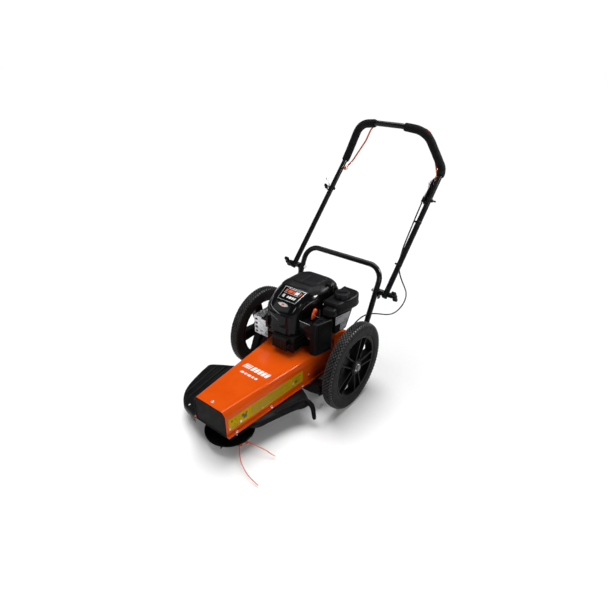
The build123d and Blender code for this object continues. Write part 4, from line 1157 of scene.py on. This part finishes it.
def make_cap():
    """Broad faceted fuel cap with a raised grip bar."""
    bm = bmesh.new()
    rings = []
    for z, r, scallop in ((1.8, 33.0, 1.6), (2.8, 34.0, 2.4), (17.0, 34.0, 2.4), (22.0, 33.4, 2.0),
                          (25.0, 31.0, 1.0), (26.2, 27.6, 0.0), (25.6, 20.0, 0.0), (25.4, 4.0, 0.0)):
        ring = []
        for k in range(80):
            a = 2 * pi * k / 80
            d = r - scallop * max(0.0, cos(5 * a)) ** 2
            ring.append(CAP + Vector((d * cos(a), d * sin(a), TANK_TOP + z)))
        rings.append(ring)
    solid(bm, rings)
    ring_of_blocks(bm, (-24, -6.0, TANK_TOP + 24.0), (24, 6.0, TANK_TOP + 29.4), CAP, 1, "Z", 30.0)
    piece("fuel_cap_moulded", bm, "matte_black", ["fuel_cap"], "fuel_cap", ["panel_grey"],
          smooth=32.0, bevel=1.2)


def make_starter_grip():
    bm = bmesh.new()
    x, y = GRIP_X, GRIP_Y
    turned(bm, [(0, 481), (9.5, 481), (11.6, 484), (12, 496), (10.8, 507), (7.5, 514), (6.6, 518), (0, 519)],
           (x, y, 0), "z", 32)
    corners = [(x - 7, y - 19.6), (x + 7, y - 19.6), (x + 7, y + 19.6), (x - 7, y + 19.6)]
    plate(bm, rounded(corners, 6.0), 516.8, 528.2, 4.0, 4, 3.0)
    for k in range(5):
        block(bm, (x - 6.6, y - 13.0 + 5.9 * k, 527.4), (x + 6.6, y - 10.4 + 5.9 * k, 528.5))
    bar(bm, [(x, y, 412), (x, y, 481.5)], 2.4)
    piece("starter_grip_moulded", bm, "matte_black", ["starter_grip"], "starter_grip", bevel=0.4)


make_decal()
make_small_badge()
make_painted_highlight_ridges()
make_top_panel()
make_console()
make_speed_lever()
make_filter_cover()
make_tank()
make_cap()
make_starter_grip()


# ---- handle

GRIP_BEND_Y = 719.0
GRIP_CORNER = Vector((178.0, 684.0, 1084.0))
BAR_END = Vector((64.0, 652.0, 1101.0))
UPPER_X, CABLE_X = 266.0, 244.5
FITTING_S = 482.0
BEND_R, CORNER_R = 52.0, 110.0


def arc_path(points, radii, steps=14):
    """Straight runs joined by tangent arcs."""
    line = [points[0]]
    for a, b, c, r in zip(points, points[1:], points[2:], radii):
        back, ahead = (a - b).normalized(), (c - b).normalized()
        half = (pi - back.angle(ahead)) / 2
        reach = r * tan(half)
        start, end = b + back * reach, b + ahead * reach
        centre = b + (back + ahead).normalized() * (r / cos(half))
        u, v = start - centre, end - centre
        whole = u.angle(v)
        for k in range(steps + 1):
            t = k / steps
            line.append(centre + (u * sin((1 - t) * whole) + v * sin(t * whole)) / sin(whole))
    return line + [points[-1]]


def make_grip(name, side):
    """Foam sleeve, a little fuller in the middle, drawn in at both mouths."""
    bend_s = (GRIP_BEND_Y - HINGE_Y) / cos(UPPER_ANGLE)
    corners = [Vector((UPPER_X, *along(bend_s - 34))), Vector((UPPER_X, *along(bend_s))), GRIP_CORNER,
               BAR_END + (GRIP_CORNER - BAR_END).normalized() * 14]
    line, dense = arc_path(corners, [BEND_R, CORNER_R]), []
    for a, b in zip(line, line[1:]):
        count = max(1, int((b - a).length / 6.0))
        dense += [a.lerp(b, k / count) for k in range(count)]
    dense.append(line[-1])
    steps = [(b - a).length for a, b in zip(dense, dense[1:])]
    whole, radii = sum(steps), []
    for i in range(len(dense)):
        run = sum(steps[:i])
        inset = min(run, whole - run)
        radii.append(19.5 - 3.0 * exp(-inset / 3.0) - 0.18 * sin(run * 0.11))
    bm = bmesh.new()
    bar(bm, dense, radii, 32)
    for p, inner in ((dense[0], dense[1]), (dense[-1], dense[-2])):
        d = (inner - p).normalized()
        bar(bm, [p - d * 0.4, p + d * 0.4, p + d * 2.0], [13.3, 15.6, 14.2], 32)
    grip = piece(f"grip_sleeve_{name}", bm, "foam", [f"foam_grip_{name}"], "upper_handle", side=side,
                 smooth=50.0)


def make_fold_knob(name, side):
    """Two-lobed wing knob."""
    bm = bmesh.new()
    hub = Vector((0, HINGE_Y, HINGE_Z))
    turned(bm, [(4.2, 279.4), (11, 279.4), (12, 281), (12, 296), (10, 301), (10, 318), (8, 320), (0, 320)],
           hub, "x", 28)
    half = [(-6, -8), (-8, -22), (-7, -29.5), (0, -32), (7, -29.5), (8, -22), (6, -8)]
    wing = half + [(x, -y) for x, y in reversed(half)]
    first = len(bm.verts)
    plate(bm, rounded(wing, 4.0, 3), 299.5, 319.5, 3.0, 3, 2.5)
    moved(bm, first, Matrix.Translation(hub) @ Matrix.Rotation(radians(28), 4, "X") @ Z_TO_X)
    knob = f"fold_knob_{name}"
    piece(f"{knob}_moulded", bm, "matte_black", [knob], knob, side=side, smooth=36.0)


def make_cable_fittings():
    """Clips along the tube, the return spring, the cable's adjuster and the deck grommet."""
    up = Vector((0, cos(UPPER_ANGLE), sin(UPPER_ANGLE)))
    bm = bmesh.new()
    for s in (150.0, 372.0):
        for x, radius, sides in ((UPPER_X, 13.9, 28), (UPPER_X - 17.0, 6.0, 20)):
            centre = Vector((x, *along(s)))
            bar(bm, [centre - up * 3, centre + up * 3], radius, sides)
    piece("cable_clips", bm, "cable_jacket", body="upper_handle", bevel=0.6)
    bm = bmesh.new()
    base = Vector((CABLE_X, *along(FITTING_S, 14)))
    for low, high, radius, sides in ((-19, -12, 4.6, 18), (12.5, 18, 5.2, 6), (18, 30, 3.4, 16),
                                     (30, 33, 5.2, 6), (28, 62, 0.9, 8)):
        bar(bm, [base + up * low, base + up * high], radius, sides)
    coil = []
    for k in range(181):
        a = 2 * pi * k / 15
        middle = base + up * (64 + 38 * k / 180)
        coil.append(middle + Vector((cos(a), -up.z * sin(a), up.y * sin(a))) * 4.2)
    bar(bm, coil, 0.8, 6)
    bar(bm, [base + up * 102, base + up * 112 + Vector((2, 0, 0))], 0.9, 8)
    piece("cable_adjuster_and_spring", bm, "zinc_steel", body="upper_handle", smooth=45.0)
    bm = bmesh.new()
    profile = [(3.5, -5), (6.8, -5), (6.8, -1.8), (9.5, -1.6), (10, 0.4), (8.5, 2.6), (5.8, 3.6), (3.5, 3.6)]
    turned(bm, profile, wall_point(70, 192.0, 1, 1.6), "x", 28, closed=True)
    piece("deck_grommet", bm, "cable_jacket")


for name, side in SIDES:
    make_grip(name, side)
    make_fold_knob(name, side)
make_cable_fittings()


# ---- carried-over CAD nodes

# Width of the softened edges in millimetres.
SOFT_EDGES = {
    "rim_left": 1.2, "rim_right": 1.2, "muffler_guard": 1.0, "valve_cover": 1.2, "handle_brackets": 0.6,
    "axle_carrier": 0.8, "handle_clamps": 0.8, "engine_block": 0.8, "cable_bracket": 0.7,
    "guide_knob": 1.2, "hex_bolts": 0.4, "axle_nuts": 0.6, "fold_bolts": 0.6, "air_filter_base": 0.6,
    "muffler": 1.0, "base_plate": 0.5, "spark_plug": 0.4, "carburettor": 0.8, "bail_pivots": 0.5}

# Nodes that are duller than their material's usual finish.
DULLED = {"axle_nuts": "dull_steel", "stub_axles": "dull_steel", "muffler": "iron"}


def dress_nodes():
    """Gives every CAD node its finish, and softens the edges of the ones that show."""
    for row in frame["record"]["subparts"]:
        node = frame["nodes"][row["node"]]
        for slot in node.material_slots:
            slot.material = LOOKS[DULLED.get(row["node"], row["material_slot"])].made
    for name, width in SOFT_EDGES.items():
        node = frame["nodes"][name]
        node.modifiers.new("Joined", "WELD").merge_threshold = 0.00001
        soften(node, width, 40.0, False)


dress_nodes()


# ---- stage

def make_stage():
    bm = bmesh.new()
    bmesh.ops.create_grid(bm, x_segments=1, y_segments=1, size=30.0)
    mesh = bpy.data.meshes.new("floor")
    bm.to_mesh(mesh)
    bm.free()
    floor = linked("floor", mesh)
    floor.location.z = -0.0004
    paper = Look("floor_paper")
    paper.colour(paper.noise(0.7), (0.88, 0.88, 0.88), (0.9, 0.9, 0.9))
    paper.set(Roughness=0.9, Specular_IOR_Level=0.05, Emission_Color=(1.0, 1.0, 1.0, 1.0),
              Emission_Strength=0.07)
    mesh.materials.append(paper.made)


def softbox(name, place, aim, width, height, power, shine_only=False):
    """A rectangular lamp; one with shine_only shows in glossy surfaces and lights nothing else."""
    light = bpy.data.lights.new(name, "AREA")
    light.shape = "RECTANGLE"
    light.size, light.size_y = width, height
    light.energy = power
    lamp = linked(name, light)
    lamp.location = place
    lamp.rotation_euler = (Vector(aim) - Vector(place)).to_track_quat("-Z", "Y").to_euler()
    lamp.visible_diffuse = not shine_only


def make_sky():
    """White to the camera, dim to everything else."""
    world = bpy.data.worlds.new("studio")
    bpy.context.scene.world = world
    world.use_nodes = True
    nodes, links = world.node_tree.nodes, world.node_tree.links
    sky = nodes["Background"]
    sky.inputs["Color"].default_value = (1.0, 1.0, 1.0, 1.0)
    path = nodes.new("ShaderNodeLightPath")
    strength = nodes.new("ShaderNodeMapRange")
    strength.inputs["To Min"].default_value = 0.07
    strength.inputs["To Max"].default_value = 1.1
    links.new(path.outputs["Is Camera Ray"], strength.inputs["Value"])
    links.new(strength.outputs["Result"], sky.inputs["Strength"])


def make_lights():
    """A broad sun, and softboxes round the machine."""
    light = bpy.data.lights.new("sun", "SUN")
    light.energy = 3.25
    light.angle = radians(45.0)
    sun = linked("sun", light)
    sun.rotation_euler = (radians(-10.0), radians(-11.0), 0.0)
    softbox("front_left", (-2.2, -2.4, 1.8), (0.0, -0.1, 0.4), 1.0, 1.6, 12.0)
    softbox("back_strip", (0.9, 2.5, 2.3), (0.1, 0.0, 0.3), 1.8, 0.25, 60.0, True)
    softbox("shoulder", (1.6, 1.25, 2.05), (0.1, -0.45, 0.22), 1.1, 0.3, 120.0, True)
    softbox("hood_edge", (2.2, -1.15, 1.42), (0.07, -0.12, 0.48), 0.16, 0.16, 14.0, True)
    softbox("hood_spots", (1.12, -2.2, 1.77), (0.04, -0.2, 0.44), 0.1, 0.1, 5.0, True)
    softbox("front_right", (2.4, -1.6, 1.9), (0.0, -0.1, 0.4), 0.5, 1.4, 14.0)


make_stage()
make_sky()
make_lights()
bpy.context.scene.view_settings.view_transform = "Standard"
